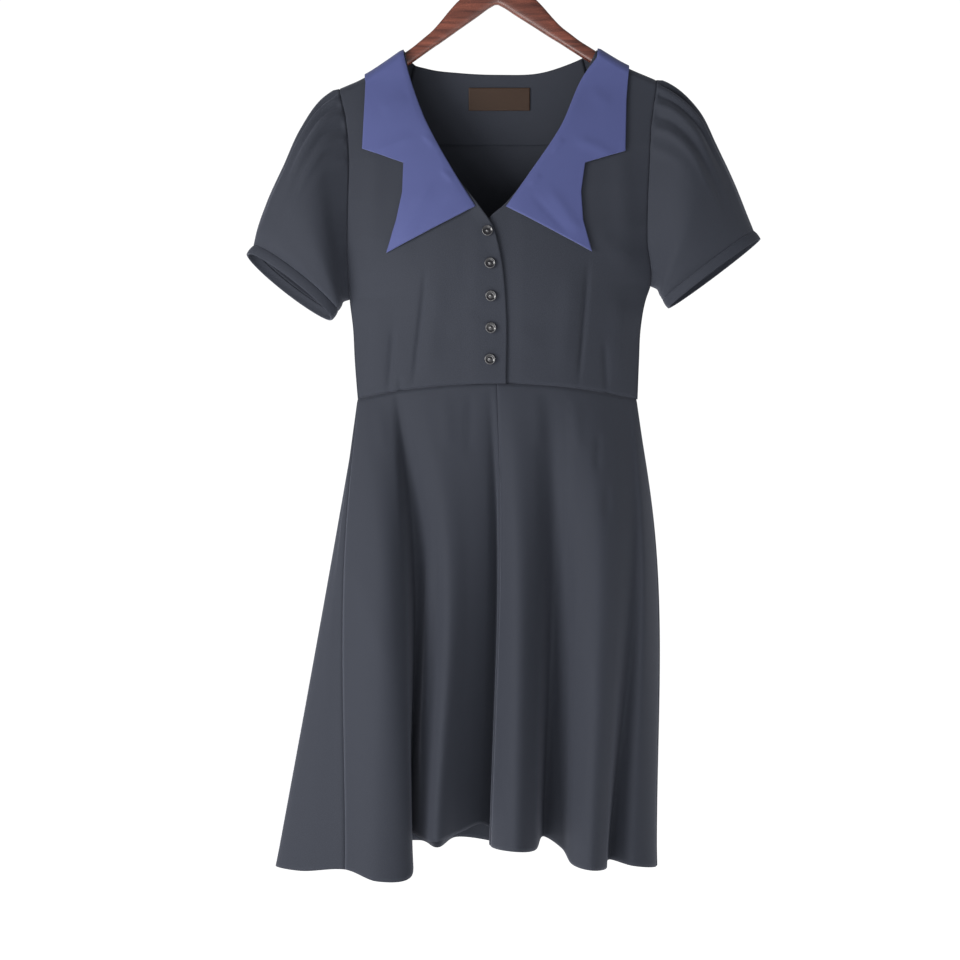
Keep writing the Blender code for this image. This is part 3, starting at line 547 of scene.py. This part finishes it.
def depth(x, z, middle_index, edge_index):
    """Depth of the front or the back at a place, in millimetres."""
    heights = column(BODICE_SECTIONS, 0)
    edge_right = smooth_between(z, heights, column(BODICE_SECTIONS, 1))
    edge_left = smooth_between(z, heights, column(BODICE_SECTIONS, 2))
    middle = smooth_between(z, heights, column(BODICE_SECTIONS, middle_index))
    share = np.clip(np.where(x < 0, x / edge_right, x / edge_left), 0, 1)
    above = z - np.where(x < 0, UNDERARM_RIGHT_Z, UNDERARM_LEFT_Z)
    edge = np.interp(above, column(ARMHOLE_SECTIONS, 0), column(ARMHOLE_SECTIONS, edge_index))
    flat = edge + (middle - edge) * (1 - share**SIDE_ROUNDING)
    below = np.clip((shoulder_z(x) - z) / SHOULDER_ROLL, 0, 1)
    return flat * np.sqrt(1 - (1 - below) ** 2)


def front_y(x, z):
    return depth(x, z, 3, 1)


def back_y(x, z):
    return depth(x, z, 4, 2)


def outward(form, x, z, side):
    """Unit direction out of the front (side -1) or back (side 1) form at a place."""
    step = 0.4
    slope_x = (form(x + step, z) - form(x - step, z)) / (2 * step)
    slope_z = (form(x, z + step) - form(x, z - step)) / (2 * step)
    normal = np.stack([-slope_x, np.ones_like(slope_x), -slope_z], axis=-1) * side
    return normal / np.linalg.norm(normal, axis=-1, keepdims=True)


def on_form(form, flat, side, rise=0.0):
    """Turns a grid of x and z in millimetres into points in metres, moved out of the form by rise."""
    x, z = flat[..., 0], flat[..., 1]
    points = np.stack([x, form(x, z), z], axis=-1)
    return (points + outward(form, x, z, side) * np.asarray(rise)[..., None]) * MM


def side_edge(side):
    """The side seam and the armhole as one edge: x and z from the waist to the shoulder."""
    if side < 0:
        index, underarm, tip = 1, UNDERARM_RIGHT_Z, TIP_RIGHT_X
    else:
        index, underarm, tip = 2, UNDERARM_LEFT_Z, TIP_LEFT_X
    heights = column(BODICE_SECTIONS, 0)
    edge = column(BODICE_SECTIONS, index)
    waist_x = smooth_between(-575.0, heights, edge)
    top = shoulder_z(tip)
    share = np.linspace(0, 1, ARM_STEPS)
    arm_z = top - (top - underarm) * (1 - share) ** 1.5
    z = np.concatenate([np.linspace(waist_z(waist_x), underarm, SIDE_STEPS), arm_z[1:]])
    x = smooth_between(z, heights, edge)
    x[0] = waist_x
    x[-1] = tip
    return np.stack([x, z], axis=1)


def shoulder_edge(start, end, count):
    x = np.linspace(start, end, count)
    return np.stack([x, shoulder_z(x)], axis=1)


def seam_dip(grid, edges, width=3.0, dip=0.8):
    """Cloth rolls in where it is sewn: millimetres below the form near the named edges."""
    return -dip * near_edge(grid * MM, edges, width * MM) ** 2


right_shoulder = shoulder_edge(TIP_RIGHT_X, NECK_RIGHT_X, FRONT_STEPS // 2)
left_shoulder = shoulder_edge(NECK_LEFT_X, TIP_LEFT_X, FRONT_STEPS // 2)
ease = np.linspace(0, 1, NECK_STEPS)
neck_shares = ease - 0.9 * np.sin(2 * pi * ease) / (2 * pi)
neck_line = spline([right_shoulder[-1], *BACK_NECK, left_shoulder[0]], neck_shares)
back_top = np.concatenate([right_shoulder, neck_line[1:-1], left_shoulder])
back_sides = side_edge(-1), side_edge(1)
back_waist_x = np.linspace(back_sides[0][0, 0], back_sides[1][0, 0], len(back_top))
back_waist = np.stack([back_waist_x, waist_z(back_waist_x)], axis=1)
back_flat = coons(back_waist, back_top, *back_sides)
back_dip = seam_dip(np.dstack([back_flat, np.zeros(back_flat.shape[:2])]), ("low", "first", "last"))
back_rise = folds(back_flat[..., 0], back_flat[..., 1], BACK_FOLDS) + back_dip
back_grid = on_form(back_y, back_flat, 1, back_rise)
bodice_back = cloth(
    "back_of_bodice",
    back_grid[:, ::-1],
    crepe,
    CLOTH_THICK,
    near_edge(back_grid[:, ::-1], ("high",), NECK_TURNING),
)
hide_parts("bodice_back")

# ================================================================ facing and label inside the neck
# The back neck is faced with a deep band of the same crepe, its lower edge stitched and free. A
# woven copper-brown label is sewn to it by its ends, and it is bare.
FACING_LOW_Z = -266.0
FACING_FLARE = 0.25
FACING_STEPS = 40
FACING_IN_MM = 1.9
FACING_THICK = 1.3 * MM
FACING_TURNING = 6 * MM
LABEL_CENTRE = (3.5, -211.0)
LABEL_SIZE = (74.0, 27.0)
LABEL_IN_MM = 3.3
LABEL_BOW_MM = 0.5
LABEL_THICK = 0.8 * MM
LABEL_COLUMNS = 60
LABEL_ROWS = 24

shown_neck = neck_line[(neck_shares >= 0.07) & (neck_shares <= 0.93)]
facing_drop = np.linspace(1, 0, FACING_STEPS)[:, None]
facing_flat = np.stack(
    [
        shown_neck[None, :, 0] * (1 + FACING_FLARE * facing_drop),
        shown_neck[None, :, 1] + facing_drop * (FACING_LOW_Z - shown_neck[None, :, 1]),
    ],
    axis=-1,
)
facing_grid = on_form(back_y, facing_flat, 1, np.full(facing_flat.shape[:2], -FACING_IN_MM))
facing = cloth(
    "back_neck_facing_cloth",
    facing_grid,
    crepe,
    FACING_THICK,
    near_edge(facing_grid, ("low",), FACING_TURNING),
)
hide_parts("back_neck_facing")

label_look = cloth_material(
    "copper_label_weave",
    dark=(0.006, 0.004, 0.003),
    light=(0.060, 0.030, 0.017),
    threads=7000,
    pebble=0.3,
    rough=0.55,
    bump_mm=0.1,
    sheen=0.1,
    sheen_tint=(1, 0.8, 0.6),
)
label_x = LABEL_CENTRE[0] + np.linspace(-0.5, 0.5, LABEL_COLUMNS) * LABEL_SIZE[0]
label_z = LABEL_CENTRE[1] + np.linspace(-0.5, 0.5, LABEL_ROWS) * LABEL_SIZE[1]
label_flat = np.stack(np.meshgrid(label_x, label_z), axis=-1)
label_bow = LABEL_BOW_MM * np.sin(np.linspace(0, pi, LABEL_COLUMNS))[None, :] * np.ones((LABEL_ROWS, 1))
label_grid = on_form(back_y, label_flat, 1, -LABEL_IN_MM - label_bow)
label = cloth("bare_neck_label", label_grid, label_look, LABEL_THICK)
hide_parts("neck_label")

# ================================================================ fronts of the bodice
# Two fronts, each cut on to its own button band and turned under at the edge. The wearer's right
# one laps on top and stands a little open at the neck. Each is taken in by a dart from the waist.
RIGHT_FRONT_EDGE = [(11, -470), (4, -405), (-5, -373), (-21, -349), (-51, -308), (-86, -242), (-100, -204)]
LEFT_FRONT_EDGE = [(-21, -470), (-19, -385), (-7, -361), (7, -349), (38, -311), (75, -255), (106, -187)]
EDGE_AT_WAIST = {-1: 11.0, 1: -21.0}
LAP_MM = 1.3
BAND_MIDDLE = -5
BAND_REACH = 38
BAND_EASE = 22
BAND_TOP_Z = -335
BAND_TOP_EASE = 25
EDGE_STANDS_MM = 2.2
EDGE_STANDS_REACH = 14 * MM
TURNED_EDGE = 7 * MM

# a line from x, z to x, z, its width and how far it rises
RIGHT_FRONT_FOLDS = [
    ("dart", -101, -572, -82, -412, 3.2, -3.0),
    ("dart swell", -84, -560, -66, -420, 13, 2.4),
    ("side tuck", -131, -580, -122, -480, 3.5, -2.4),
    ("side tuck swell", -146, -575, -136, -450, 11, 2.2),
    ("waist tuck", -116, -580, -114, -548, 3, -1.6),
    ("armhole drag", -170, -440, -96, -386, 15, 2.0),
    ("hanging fold", -150, -430, -140, -260, 13, 1.6),
    ("band drag", -60, -500, -22, -470, 11, 1.0),
]
LEFT_FRONT_FOLDS = [
    ("dart", 96, -572, 109, -404, 3.2, -2.8),
    ("dart swell", 78, -560, 90, -410, 13, 2.2),
    ("side tuck", 132, -578, 128, -498, 4, -1.8),
    ("side tuck swell", 147, -570, 144, -440, 12, 2.0),
    ("armhole drag", 170, -424, 110, -372, 14, 1.8),
    ("hanging fold", 154, -420, 146, -260, 14, 1.8),
    ("band drag", 52, -520, 20, -486, 12, 0.9),
]


def lap(x, z, side):
    """How far a front moves for the lap: the right one forward, the left one behind it."""
    band = np.clip((BAND_REACH - np.abs(x - BAND_MIDDLE)) / BAND_EASE, 0, 1)
    band = band * np.clip((BAND_TOP_Z - z) / BAND_TOP_EASE, 0, 1)
    return side * LAP_MM * band * band * (3 - 2 * band)


def front_form(side):
    return lambda x, z: front_y(x, z) + lap(x, z, side)


def bodice_front(name, node, side, edge_table, neck_x, tip_x, fold_rows):
    seam = side_edge(side)
    waist_x = EDGE_AT_WAIST[side]
    points = [(waist_x, waist_z(waist_x)), *edge_table, (neck_x, float(shoulder_z(neck_x)))]
    opening = spline(points, length_shares(seam))
    x = np.linspace(seam[0, 0], waist_x, FRONT_STEPS)
    shoulder = shoulder_edge(tip_x, neck_x, FRONT_STEPS)
    flat = coons(np.stack([x, waist_z(x)], axis=1), shoulder, seam, opening)
    flat = flat if side < 0 else flat[:, ::-1]
    sewn = ("low", "high", "first" if side < 0 else "last")
    opened = "last" if side < 0 else "first"
    plain = np.dstack([flat, np.zeros(flat.shape[:2])])
    rise = folds(flat[..., 0], flat[..., 1], fold_rows) + seam_dip(plain, sewn)
    if side < 0:
        standing = np.clip((flat[..., 1] + 430) / 70, 0, 1) * np.clip((-330 - flat[..., 1]) / 20, 0, 1)
        rise = rise + EDGE_STANDS_MM * standing * near_edge(plain * MM, (opened,), EDGE_STANDS_REACH)
    grid = on_form(front_form(side), flat, -1, rise)
    piece = cloth(name, grid, crepe, CLOTH_THICK, near_edge(grid, (opened,), TURNED_EDGE))
    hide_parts(node)
    return piece


right_front = bodice_front(
    "right_front", "bodice_front_right", -1, RIGHT_FRONT_EDGE, NECK_RIGHT_X, TIP_RIGHT_X, RIGHT_FRONT_FOLDS
)
left_front = bodice_front(
    "left_front", "bodice_front_left", 1, LEFT_FRONT_EDGE, NECK_LEFT_X, TIP_LEFT_X, LEFT_FRONT_FOLDS
)

# ================================================================ collar
# A flat collar in blue cotton twill, one half on each side of the V neck, notched so that each
# half has two points. It is two layers turned out, rolls over the neck edge and lies on the front.
RIGHT_COLLAR_OUTLINE = [(-129, -403), (-118, -366), (-111, -332), (-110, -297), (-159, -279), (-157, -230)]
LEFT_COLLAR_OUTLINE = [(111, -402), (101, -366), (99, -332), (104, -297), (152, -282), (154, -222)]
COLLAR_START = {-1: (-25, -350), 1: (11, -350)}
COLLAR_SHOULDER_X = {-1: -156.0, 1: 157.0}
COLLAR_SHOULDER_DROPS = [11, 5.5, 2.2, 0.6]
COLLAR_STEPS = 14
COLLAR_COLUMNS = 56
COLLAR_LIFT_MM = 3.0
COLLAR_THICK = 1.9 * MM
WING_LIFT_MM = 1.2
WING_TOP_Z = -320
WING_EASE = 80
NECK_ROLL_MM = 1.2
NECK_ROLLS_PER_WIDTH = 9
RIGHT_COLLAR_FOLDS = [
    ("lower wing pull", -122, -392, -70, -320, 7, 1.1),
    ("lower wing trough", -104, -390, -52, -330, 5, -0.8),
    ("notch pull", -150, -288, -92, -262, 7, 0.9),
    ("neck pucker 1", -66, -306, -50, -322, 3.5, 0.8),
    ("neck pucker 2", -88, -262, -72, -280, 3.5, 0.7),
    ("shoulder pull", -140, -236, -106, -214, 8, 0.8),
]
LEFT_COLLAR_FOLDS = [
    ("lower wing pull", 104, -390, 56, -322, 7, 1.0),
    ("lower wing trough", 88, -388, 38, -332, 5, -0.8),
    ("notch pull", 144, -290, 88, -266, 7, 1.0),
    ("neck pucker 1", 52, -312, 38, -326, 3.5, 0.8),
    ("neck pucker 2", 80, -268, 64, -288, 3.5, 0.8),
    ("shoulder pull", 138, -230, 108, -208, 8, 0.7),
]

blue_twill = cloth_material(
    "blue_cotton_twill",
    dark=(0.040, 0.049, 0.138),
    light=(0.070, 0.083, 0.215),
    threads=5600,
    pebble=0.35,
    rough=0.72,
    bump_mm=0.12,
    sheen=0.15,
    sheen_tint=(0.8, 0.85, 1.0),
)


def collar_half(name, node, side, outline, edge_table, neck_x, fold_rows):
    shoulder_x = COLLAR_SHOULDER_X[side]
    outer = [*outline, *((shoulder_x, shoulder_z(shoulder_x) - d) for d in COLLAR_SHOULDER_DROPS)]
    outer = np.array(outer, float)
    neck = [COLLAR_START[side], *edge_table[-3:], (neck_x, shoulder_z(neck_x) - COLLAR_SHOULDER_DROPS[0])]
    wing = len(outline)
    shares = (outer[: wing + 1, 1] - outer[0, 1]) / (outer[wing, 1] - outer[0, 1])
    corners = np.arange(len(outer))
    fine = np.linspace(0, len(outer) - 1, COLLAR_STEPS * (len(outer) - 1) + 1)
    outer_fine = np.stack([np.interp(fine, corners, outer[:, k]) for k in (0, 1)], axis=1)
    at_neck = spline(neck, np.interp(fine[fine <= wing], corners[: wing + 1], shares))
    up = np.interp(fine[fine > wing], corners[wing:], COLLAR_SHOULDER_DROPS)
    above_neck = np.stack([np.full(len(up), neck_x), shoulder_z(neck_x) - up], axis=1)
    inner_fine = np.concatenate([at_neck, above_neck])
    u = np.linspace(0, 1, COLLAR_COLUMNS)[None, :, None]
    flat = (1 - u) * inner_fine[:, None] + u * outer_fine[:, None]
    x, z = flat[..., 0], flat[..., 1]
    wing_lift = np.clip((WING_TOP_Z - z) / WING_EASE, 0, 1) * WING_LIFT_MM
    lift = COLLAR_LIFT_MM + wing_lift + folds(x, z, fold_rows)
    lift = lift - NECK_ROLL_MM * np.clip(1 - u[..., 0] * NECK_ROLLS_PER_WIDTH, 0, 1) ** 2
    grid = on_form(front_form(side), flat, -1, lift)
    if side < 0:
        grid = grid[:, ::-1]
    piece = cloth(name, grid, blue_twill, COLLAR_THICK)
    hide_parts(node)


collar_half(
    "right_collar", "collar_right", -1, RIGHT_COLLAR_OUTLINE, RIGHT_FRONT_EDGE, NECK_RIGHT_X,
    RIGHT_COLLAR_FOLDS,
)
collar_half(
    "left_collar", "collar_left", 1, LEFT_COLLAR_OUTLINE, LEFT_FRONT_EDGE, NECK_LEFT_X,
    LEFT_COLLAR_FOLDS,
)

# ================================================================ sleeves and cuffs
# Short puff sleeves, gathered by hand into the head of the armhole, so that uneven folds fan out
# from it. The hem is caught into a narrow band of the same crepe.
# top x and z, low x and z, front and back depth, from the armhole to the cuff
RIGHT_SLEEVE = [
    (-206, -216, -185, -459, -37, 29),
    (-233, -252, -186, -462, -46, 38),
    (-254, -295, -187, -464, -48, 41),
    (-275, -340, -189, -467, -42, 38),
    (-288, -378, -190, -468, -34, 31),
    (-291, -392, -191, -469, -29, 27),
]
LEFT_SLEEVE = [
    (207, -200, 194, -444, -37, 29),
    (241, -231, 195, -446, -46, 38),
    (262, -270, 196, -449, -48, 41),
    (284, -315, 198, -452, -42, 38),
    (301, -357, 199, -454, -34, 31),
    (308, -374, 200, -455, -29, 27),
]
CUFF_WIDTH = 12.0 * MM
CUFF_TILT = {-1: 8.0, 1: 3.0}
LOW_FULLNESS = 1.25
TOP_FULLNESS = 0.85
SLEEVE_STEPS = 72
CUFF_STEPS = 9
CUFF_THICK = 2.2 * MM
CUFF_SWELL = 0.8 * MM
CUFF_FLARE = 0.01
# where it starts round the armhole in half turns from the underarm, its width in half turns, how
# high it stands and how far down the sleeve it reaches
GATHERS = [
    (0.60, 0.018, 1.6, 0.45),
    (0.67, 0.014, 2.4, 0.80),
    (0.72, 0.016, -2.6, 0.95),
    (0.77, 0.014, 2.6, 0.70),
    (0.82, 0.012, -2.4, 0.60),
    (0.86, 0.014, 2.8, 1.00),
    (0.91, 0.012, -2.6, 0.75),
    (0.96, 0.013, 2.6, 0.60),
    (1.01, 0.012, -2.2, 0.85),
    (1.06, 0.014, 2.6, 0.90),
    (1.12, 0.013, -2.2, 0.60),
    (1.18, 0.016, 2.4, 0.80),
    (1.25, 0.015, -2.0, 0.70),
    (1.33, 0.018, 1.8, 0.55),
]


def grid_normals(grid, wrap):
    if wrap:
        around = np.roll(grid, -1, axis=1) - np.roll(grid, 1, axis=1)
    else:
        around = np.gradient(grid, axis=1)
    normal = np.cross(around, np.gradient(grid, axis=0))
    return normal / np.maximum(np.linalg.norm(normal, axis=-1, keepdims=True), 1e-12)


def sleeve(name, node, cuff_name, cuff_node, side, table):
    edge = side_edge(side)[SIDE_STEPS - 1 :]
    up = on_form(front_form(side), edge, -1)
    down = on_form(back_y, edge, 1)[::-1]
    middle = np.concatenate([up, down[1:-1]])
    low_z, top_z = middle[:, 2].min(), middle[:, 2].max()
    turn = np.arccos(np.clip((low_z + top_z - 2 * middle[:, 2]) / (top_z - low_z), -1, 1))
    turn = np.where(np.arange(len(middle)) < ARM_STEPS, turn, 2 * pi - turn)
    loops = [middle + np.array([side * 0.4 * MM, 0, 0])]
    for row, (top_x, row_top_z, low_x, row_low_z, front, rear) in enumerate(table):
        top = np.array([top_x, 0, row_top_z]) * MM
        low = np.array([low_x, 0, row_low_z]) * MM
        centre = (top + low) / 2
        toward_low = low - centre
        out = np.array([-toward_low[2], 0, toward_low[0]])
        out = out / np.linalg.norm(out)
        out = out * np.sign(out[0] * side)
        fullness = np.abs(np.sin(turn)) ** np.where(np.cos(turn) > 0, LOW_FULLNESS, TOP_FULLNESS)
        offset = np.where(np.sin(turn) > 0, front, rear) * MM * fullness
        lean = -CUFF_TILT[side] * MM * (row / (len(table) - 1)) ** 2 * np.sin(turn)
        loop = centre + np.cos(turn)[:, None] * toward_low + offset[:, None] * np.array([0, 1, 0])
        loops.append(loop + lean[:, None] * out)
    shares = np.linspace(0, 1, SLEEVE_STEPS)
    grid = np.stack([spline([loop[j] for loop in loops], shares) for j in range(len(middle))], axis=1)
    half_turns = turn / pi
    rise = np.zeros(grid.shape[:2])
    for start, width, height, far in GATHERS:
        spread = width * (1 + 1.6 * shares[:, None])
        fade = np.clip(shares[:, None] / 0.03, 0, 1)
        fade = fade * np.clip((far - shares[:, None]) / (0.8 * far), 0, 1)
        rise += height * fade * np.exp(-(((half_turns[None] - start) / spread) ** 2))
    normal = grid_normals(grid, True)
    normal *= np.sign(normal[..., 1:2] * (grid[..., 1:2] - grid[..., 1].mean()))
    grid = grid + normal * (rise * MM)[..., None]
    piece = cloth(name, grid, crepe, CLOTH_THICK, wrap=True)
    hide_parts(node)
    cuff_top = loops[-1] + out * 0.3 * MM
    band = cuff_top[None] + np.linspace(0, 1, CUFF_STEPS)[:, None, None] * out * CUFF_WIDTH
    band = band + (band - cuff_top.mean(axis=0)) * CUFF_FLARE * np.linspace(0, 1, CUFF_STEPS)[:, None, None]
    swell = CUFF_SWELL * np.sin(np.linspace(0, pi, CUFF_STEPS))[:, None, None]
    band_normal = grid_normals(band, True)
    band_normal *= np.sign(band_normal[..., 1:2] * (band[..., 1:2] - band[..., 1].mean()))
    cuff = cloth(cuff_name, band + band_normal * swell, crepe, CUFF_THICK, wrap=True)
    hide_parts(cuff_node)


sleeve("right_sleeve", "sleeve_right", "right_cuff", "cuff_right", -1, RIGHT_SLEEVE)
sleeve("left_sleeve", "sleeve_left", "left_cuff", "cuff_left", 1, LEFT_SLEEVE)

# ================================================================ skirt
# Three flared panels of crepe, joined at the sides and down the middle of the front and sewn to
# the bodice. The flare falls in deep flutes, no two alike, and the hem is turned up and stitched.
# name, waist x, hip x and y, hem x, y and z
SKIRT_FOLDS = [
    ("side seam right", -166, -179, -18, -180, -35, -1134),
    ("flute 1 crest", -154, -143, -50, -140, -62, -1144),
    ("flute 1 edge", -129, -117, -46, -101, -45, -1140),
    ("valley 1", -118, -102, -22, -106, 28, -1101),
    ("flute 2 edge", -106, -81, -38, -90, -12, -1100),
    ("flute 2 crest", -85, -62, -48, -72, -50, -1099),
    ("flute 2 flank", -50, -36, -44, -46, -20, -1093),
    ("flute 2 far side", -20, -13, -38, -20, 10, -1086),
    ("valley 2", -8, -1, -30, -5, 25, -1096),
    ("centre front seam", 0, 4, -38, -7, -22, -1108),
    ("flute 3 crest", 18, 23, -50, 20, -62, -1109),
    ("flute 3 flank", 40, 44, -44, 45, -35, -1111),
    ("valley 3", 61, 66, -28, 56, 25, -1103),
    ("flute 4 low side", 77, 82, -34, 79, 0, -1114),
    ("flute 4 side", 91, 96, -42, 90, -25, -1129),
    ("flute 4 crest", 114, 120, -48, 110, -48, -1133),
    ("flute 4 flank", 136, 141, -40, 129, -30, -1134),
    ("valley 4", 155, 164, -22, 135, 5, -1128),
    ("flute 5", 164, 175, -18, 164, -15, -1133),
    ("side seam left", 168, 188, 8, 193, 18, -1138),
    ("back valley 1", 160, 184, 28, 186, 78, -1131),
    ("back crest 1 left", 143, 160, 42, 160, 112, -1127),
    ("back crest 1 right", 124, 136, 46, 122, 118, -1124),
    ("back valley 2", 104, 110, 38, 98, 70, -1118),
    ("back crest 2 left", 84, 86, 44, 74, 118, -1117),
    ("back crest 2 right", 62, 62, 46, 34, 124, -1118),
    ("back valley 3", 40, 38, 38, 14, 72, -1124),
    ("back crest 3 left", 18, 14, 44, -8, 122, -1122),
    ("back crest 3 right", -6, -12, 46, -50, 126, -1118),
    ("back valley 4", -28, -36, 38, -72, 76, -1124),
    ("back crest 4 left", -50, -60, 44, -94, 124, -1122),
    ("back crest 4 right", -74, -88, 46, -138, 126, -1126),
    ("back valley 5", -96, -112, 38, -160, 78, -1130),
    ("back crest 5 left", -116, -136, 42, -186, 118, -1134),
    ("back crest 5 right", -136, -160, 38, -232, 112, -1137),
    ("back valley 6", -152, -177, 24, -256, 66, -1140),
    ("back side edge", -162, -188, 6, -266, 28, -1140),
    ("back side turn", -165, -185, -8, -231, -8, -1140),
]
HIP_LEVEL = 0.25
SKIRT_LEVELS = 120
SKIRT_STEPS = 9
SIDE_SEAM_LEFT = 19
CENTRE_FRONT = 9
SEAM_DIP = 0.8 * MM
SEAM_REACH = 4 * MM
HEM_TURNING = 22 * MM
# a line from x, z to x, z, its width and how far it rises
SKIRT_DRAGS = [
    ("flute 2 sharp edge", -74, -700, -89, -1091, 5, 4.0),
    ("buckle 1", 121, -612, 119, -668, 5, -1.8),
    ("buckle 2", 131, -676, 130, -722, 5, -1.6),
    ("waist ease 1", -140, -580, -134, -640, 7, 1.4),
    ("waist ease 2", -62, -566, -56, -640, 8, 1.3),
    ("waist ease 3", -30, -562, -34, -650, 6, -1.2),
    ("waist ease 4", 46, -564, 52, -640, 8, 1.2),
    ("waist ease 5", 92, -570, 98, -650, 7, 1.3),
    ("drag across flute 1", -165, -760, -130, -900, 12, 1.4),
    ("drag across flute 4", 96, -800, 120, -960, 13, 1.3),
]


def ring_spline(points, steps):
    """A closed smooth curve through the points, with steps spans between each two."""
    before, after, second = (np.roll(points, k, axis=0) for k in (1, -1, -2))
    slope_a = (after - before) / 2
    slope_b = (second - points) / 2
    found = []
    for t in np.arange(steps) / steps:
        start = (2 * t**3 - 3 * t**2 + 1) * points + (t**3 - 2 * t**2 + t) * slope_a
        found.append(start + (3 * t**2 - 2 * t**3) * after + (t**3 - t**2) * slope_b)
    return np.stack(found, axis=1).reshape(-1, points.shape[-1])


fold_x = column(SKIRT_FOLDS, 1)
waist_height = waist_z(fold_x)
on_front = np.arange(len(SKIRT_FOLDS)) <= SIDE_SEAM_LEFT
waist_y = np.where(on_front, front_y(fold_x, waist_height), back_y(fold_x, waist_height))
waist_y[[0, SIDE_SEAM_LEFT]] = 0
waist_y[-1] = 2.5
skirt_keys = np.stack(
    [
        np.stack([fold_x, waist_y], axis=1),
        np.stack([column(SKIRT_FOLDS, 2), column(SKIRT_FOLDS, 3)], axis=1),
        np.stack([column(SKIRT_FOLDS, 4), column(SKIRT_FOLDS, 5)], axis=1),
    ]
).reshape(3, -1)
rings = []
for level in np.linspace(1, 0, SKIRT_LEVELS):
    place = smooth_between(np.full(1, level), [0, HIP_LEVEL, 1], skirt_keys).reshape(-1, 2)
    z = waist_height + (column(SKIRT_FOLDS, 6) - waist_height) * level
    rings.append(ring_spline(np.column_stack([place, z]), SKIRT_STEPS))
skirt = np.array(rings) * MM
skirt_normal = grid_normals(skirt, True)
drag = folds(skirt[..., 0] / MM, skirt[..., 2] / MM, SKIRT_DRAGS) * (skirt_normal[..., 1] < 0)
skirt = skirt + skirt_normal * (drag * MM)[..., None]


def skirt_panel(name, node, first, last):
    grid = skirt[:, np.arange(first, last + 1) % skirt.shape[1]]
    dip = SEAM_DIP * near_edge(grid, ("high", "first", "last"), SEAM_REACH) ** 2
    grid = grid - grid_normals(grid, False) * dip[..., None]
    piece = cloth(name, grid, crepe, CLOTH_THICK, near_edge(grid, ("low",), HEM_TURNING))
    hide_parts(node)


middle_column = CENTRE_FRONT * SKIRT_STEPS
side_column = SIDE_SEAM_LEFT * SKIRT_STEPS
last_column = len(SKIRT_FOLDS) * SKIRT_STEPS
skirt_panel("right_front_skirt", "skirt_front_right", 0, middle_column)
skirt_panel(
    "left_front_skirt", "skirt_front_left", middle_column, side_column
)
skirt_panel("back_skirt", "skirt_back", side_column, last_column)

# ================================================================ buttons
# Five moulded buttons, gloss black, each with a pewter-coloured rim and a small bright dome in the
# middle. They are sewn on by a shank behind.
BUTTON_PLACES = [(-11, -379), (-8, -417), (-7, -455), (-7, -492), (-8, -529)]
BUTTON_RADIUS = 6.4
# share of the radius, height in millimetres, and whether it is metal
BUTTON_PROFILE = [
    (0.0, 0.0, False),
    (0.8, 0.0, False),
    (0.97, 0.6, False),
    (1.0, 1.3, False),
    (0.99, 2.5, False),
    (0.93, 3.1, True),
    (0.84, 3.1, True),
    (0.78, 2.5, False),
    (0.5, 2.2, False),
    (0.2, 2.2, False),
    (0.16, 2.7, True),
    (0.0, 2.9, True),
]
BUTTON_SEGMENTS = 48

gloss_black, nodes, links, shader = new_material("gloss_black_button")
shader.inputs["Base Color"].default_value = (0.012, 0.012, 0.015, 1)
shader.inputs["Roughness"].default_value = 0.16
pewter, nodes, links, shader = new_material("pewter_rim")
shader.inputs["Base Color"].default_value = (0.13, 0.13, 0.135, 1)
shader.inputs["Metallic"].default_value = 1
shader.inputs["Roughness"].default_value = 0.34
button_front = front_form(-1)
for number, (x, z) in enumerate(BUTTON_PLACES, 1):
    spot = np.array([[float(x), float(z)]])
    normal = outward(button_front, spot[..., 0], spot[..., 1], -1)[0]
    foot = on_form(button_front, spot, -1, np.array([CAD_CLOTH_MM / 2 + 0.5]))[0]
    lean = Vector(normal).to_track_quat("Z", "Y")
    points = []
    for share, height, _ in BUTTON_PROFILE:
        for angle in np.linspace(0, 2 * pi, BUTTON_SEGMENTS, endpoint=False):
            radius = max(share, 0.001) * BUTTON_RADIUS
            turned = Vector((radius * cos(angle), radius * sin(angle), height))
            points.append(Vector(foot) + lean @ turned * MM)
    faces = [tuple(face) for face in grid_faces(len(BUTTON_PROFILE), BUTTON_SEGMENTS, True)]
    metal = [row[2] for row in BUTTON_PROFILE[1:] for _ in range(BUTTON_SEGMENTS)]
    button = put(f"front_button_{number}", points, faces, gloss_black)
    button.data.materials.append(pewter)
    for polygon, is_metal in zip(button.data.polygons, metal):
        polygon.material_index = int(is_metal)
    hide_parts(f"button_{number}")
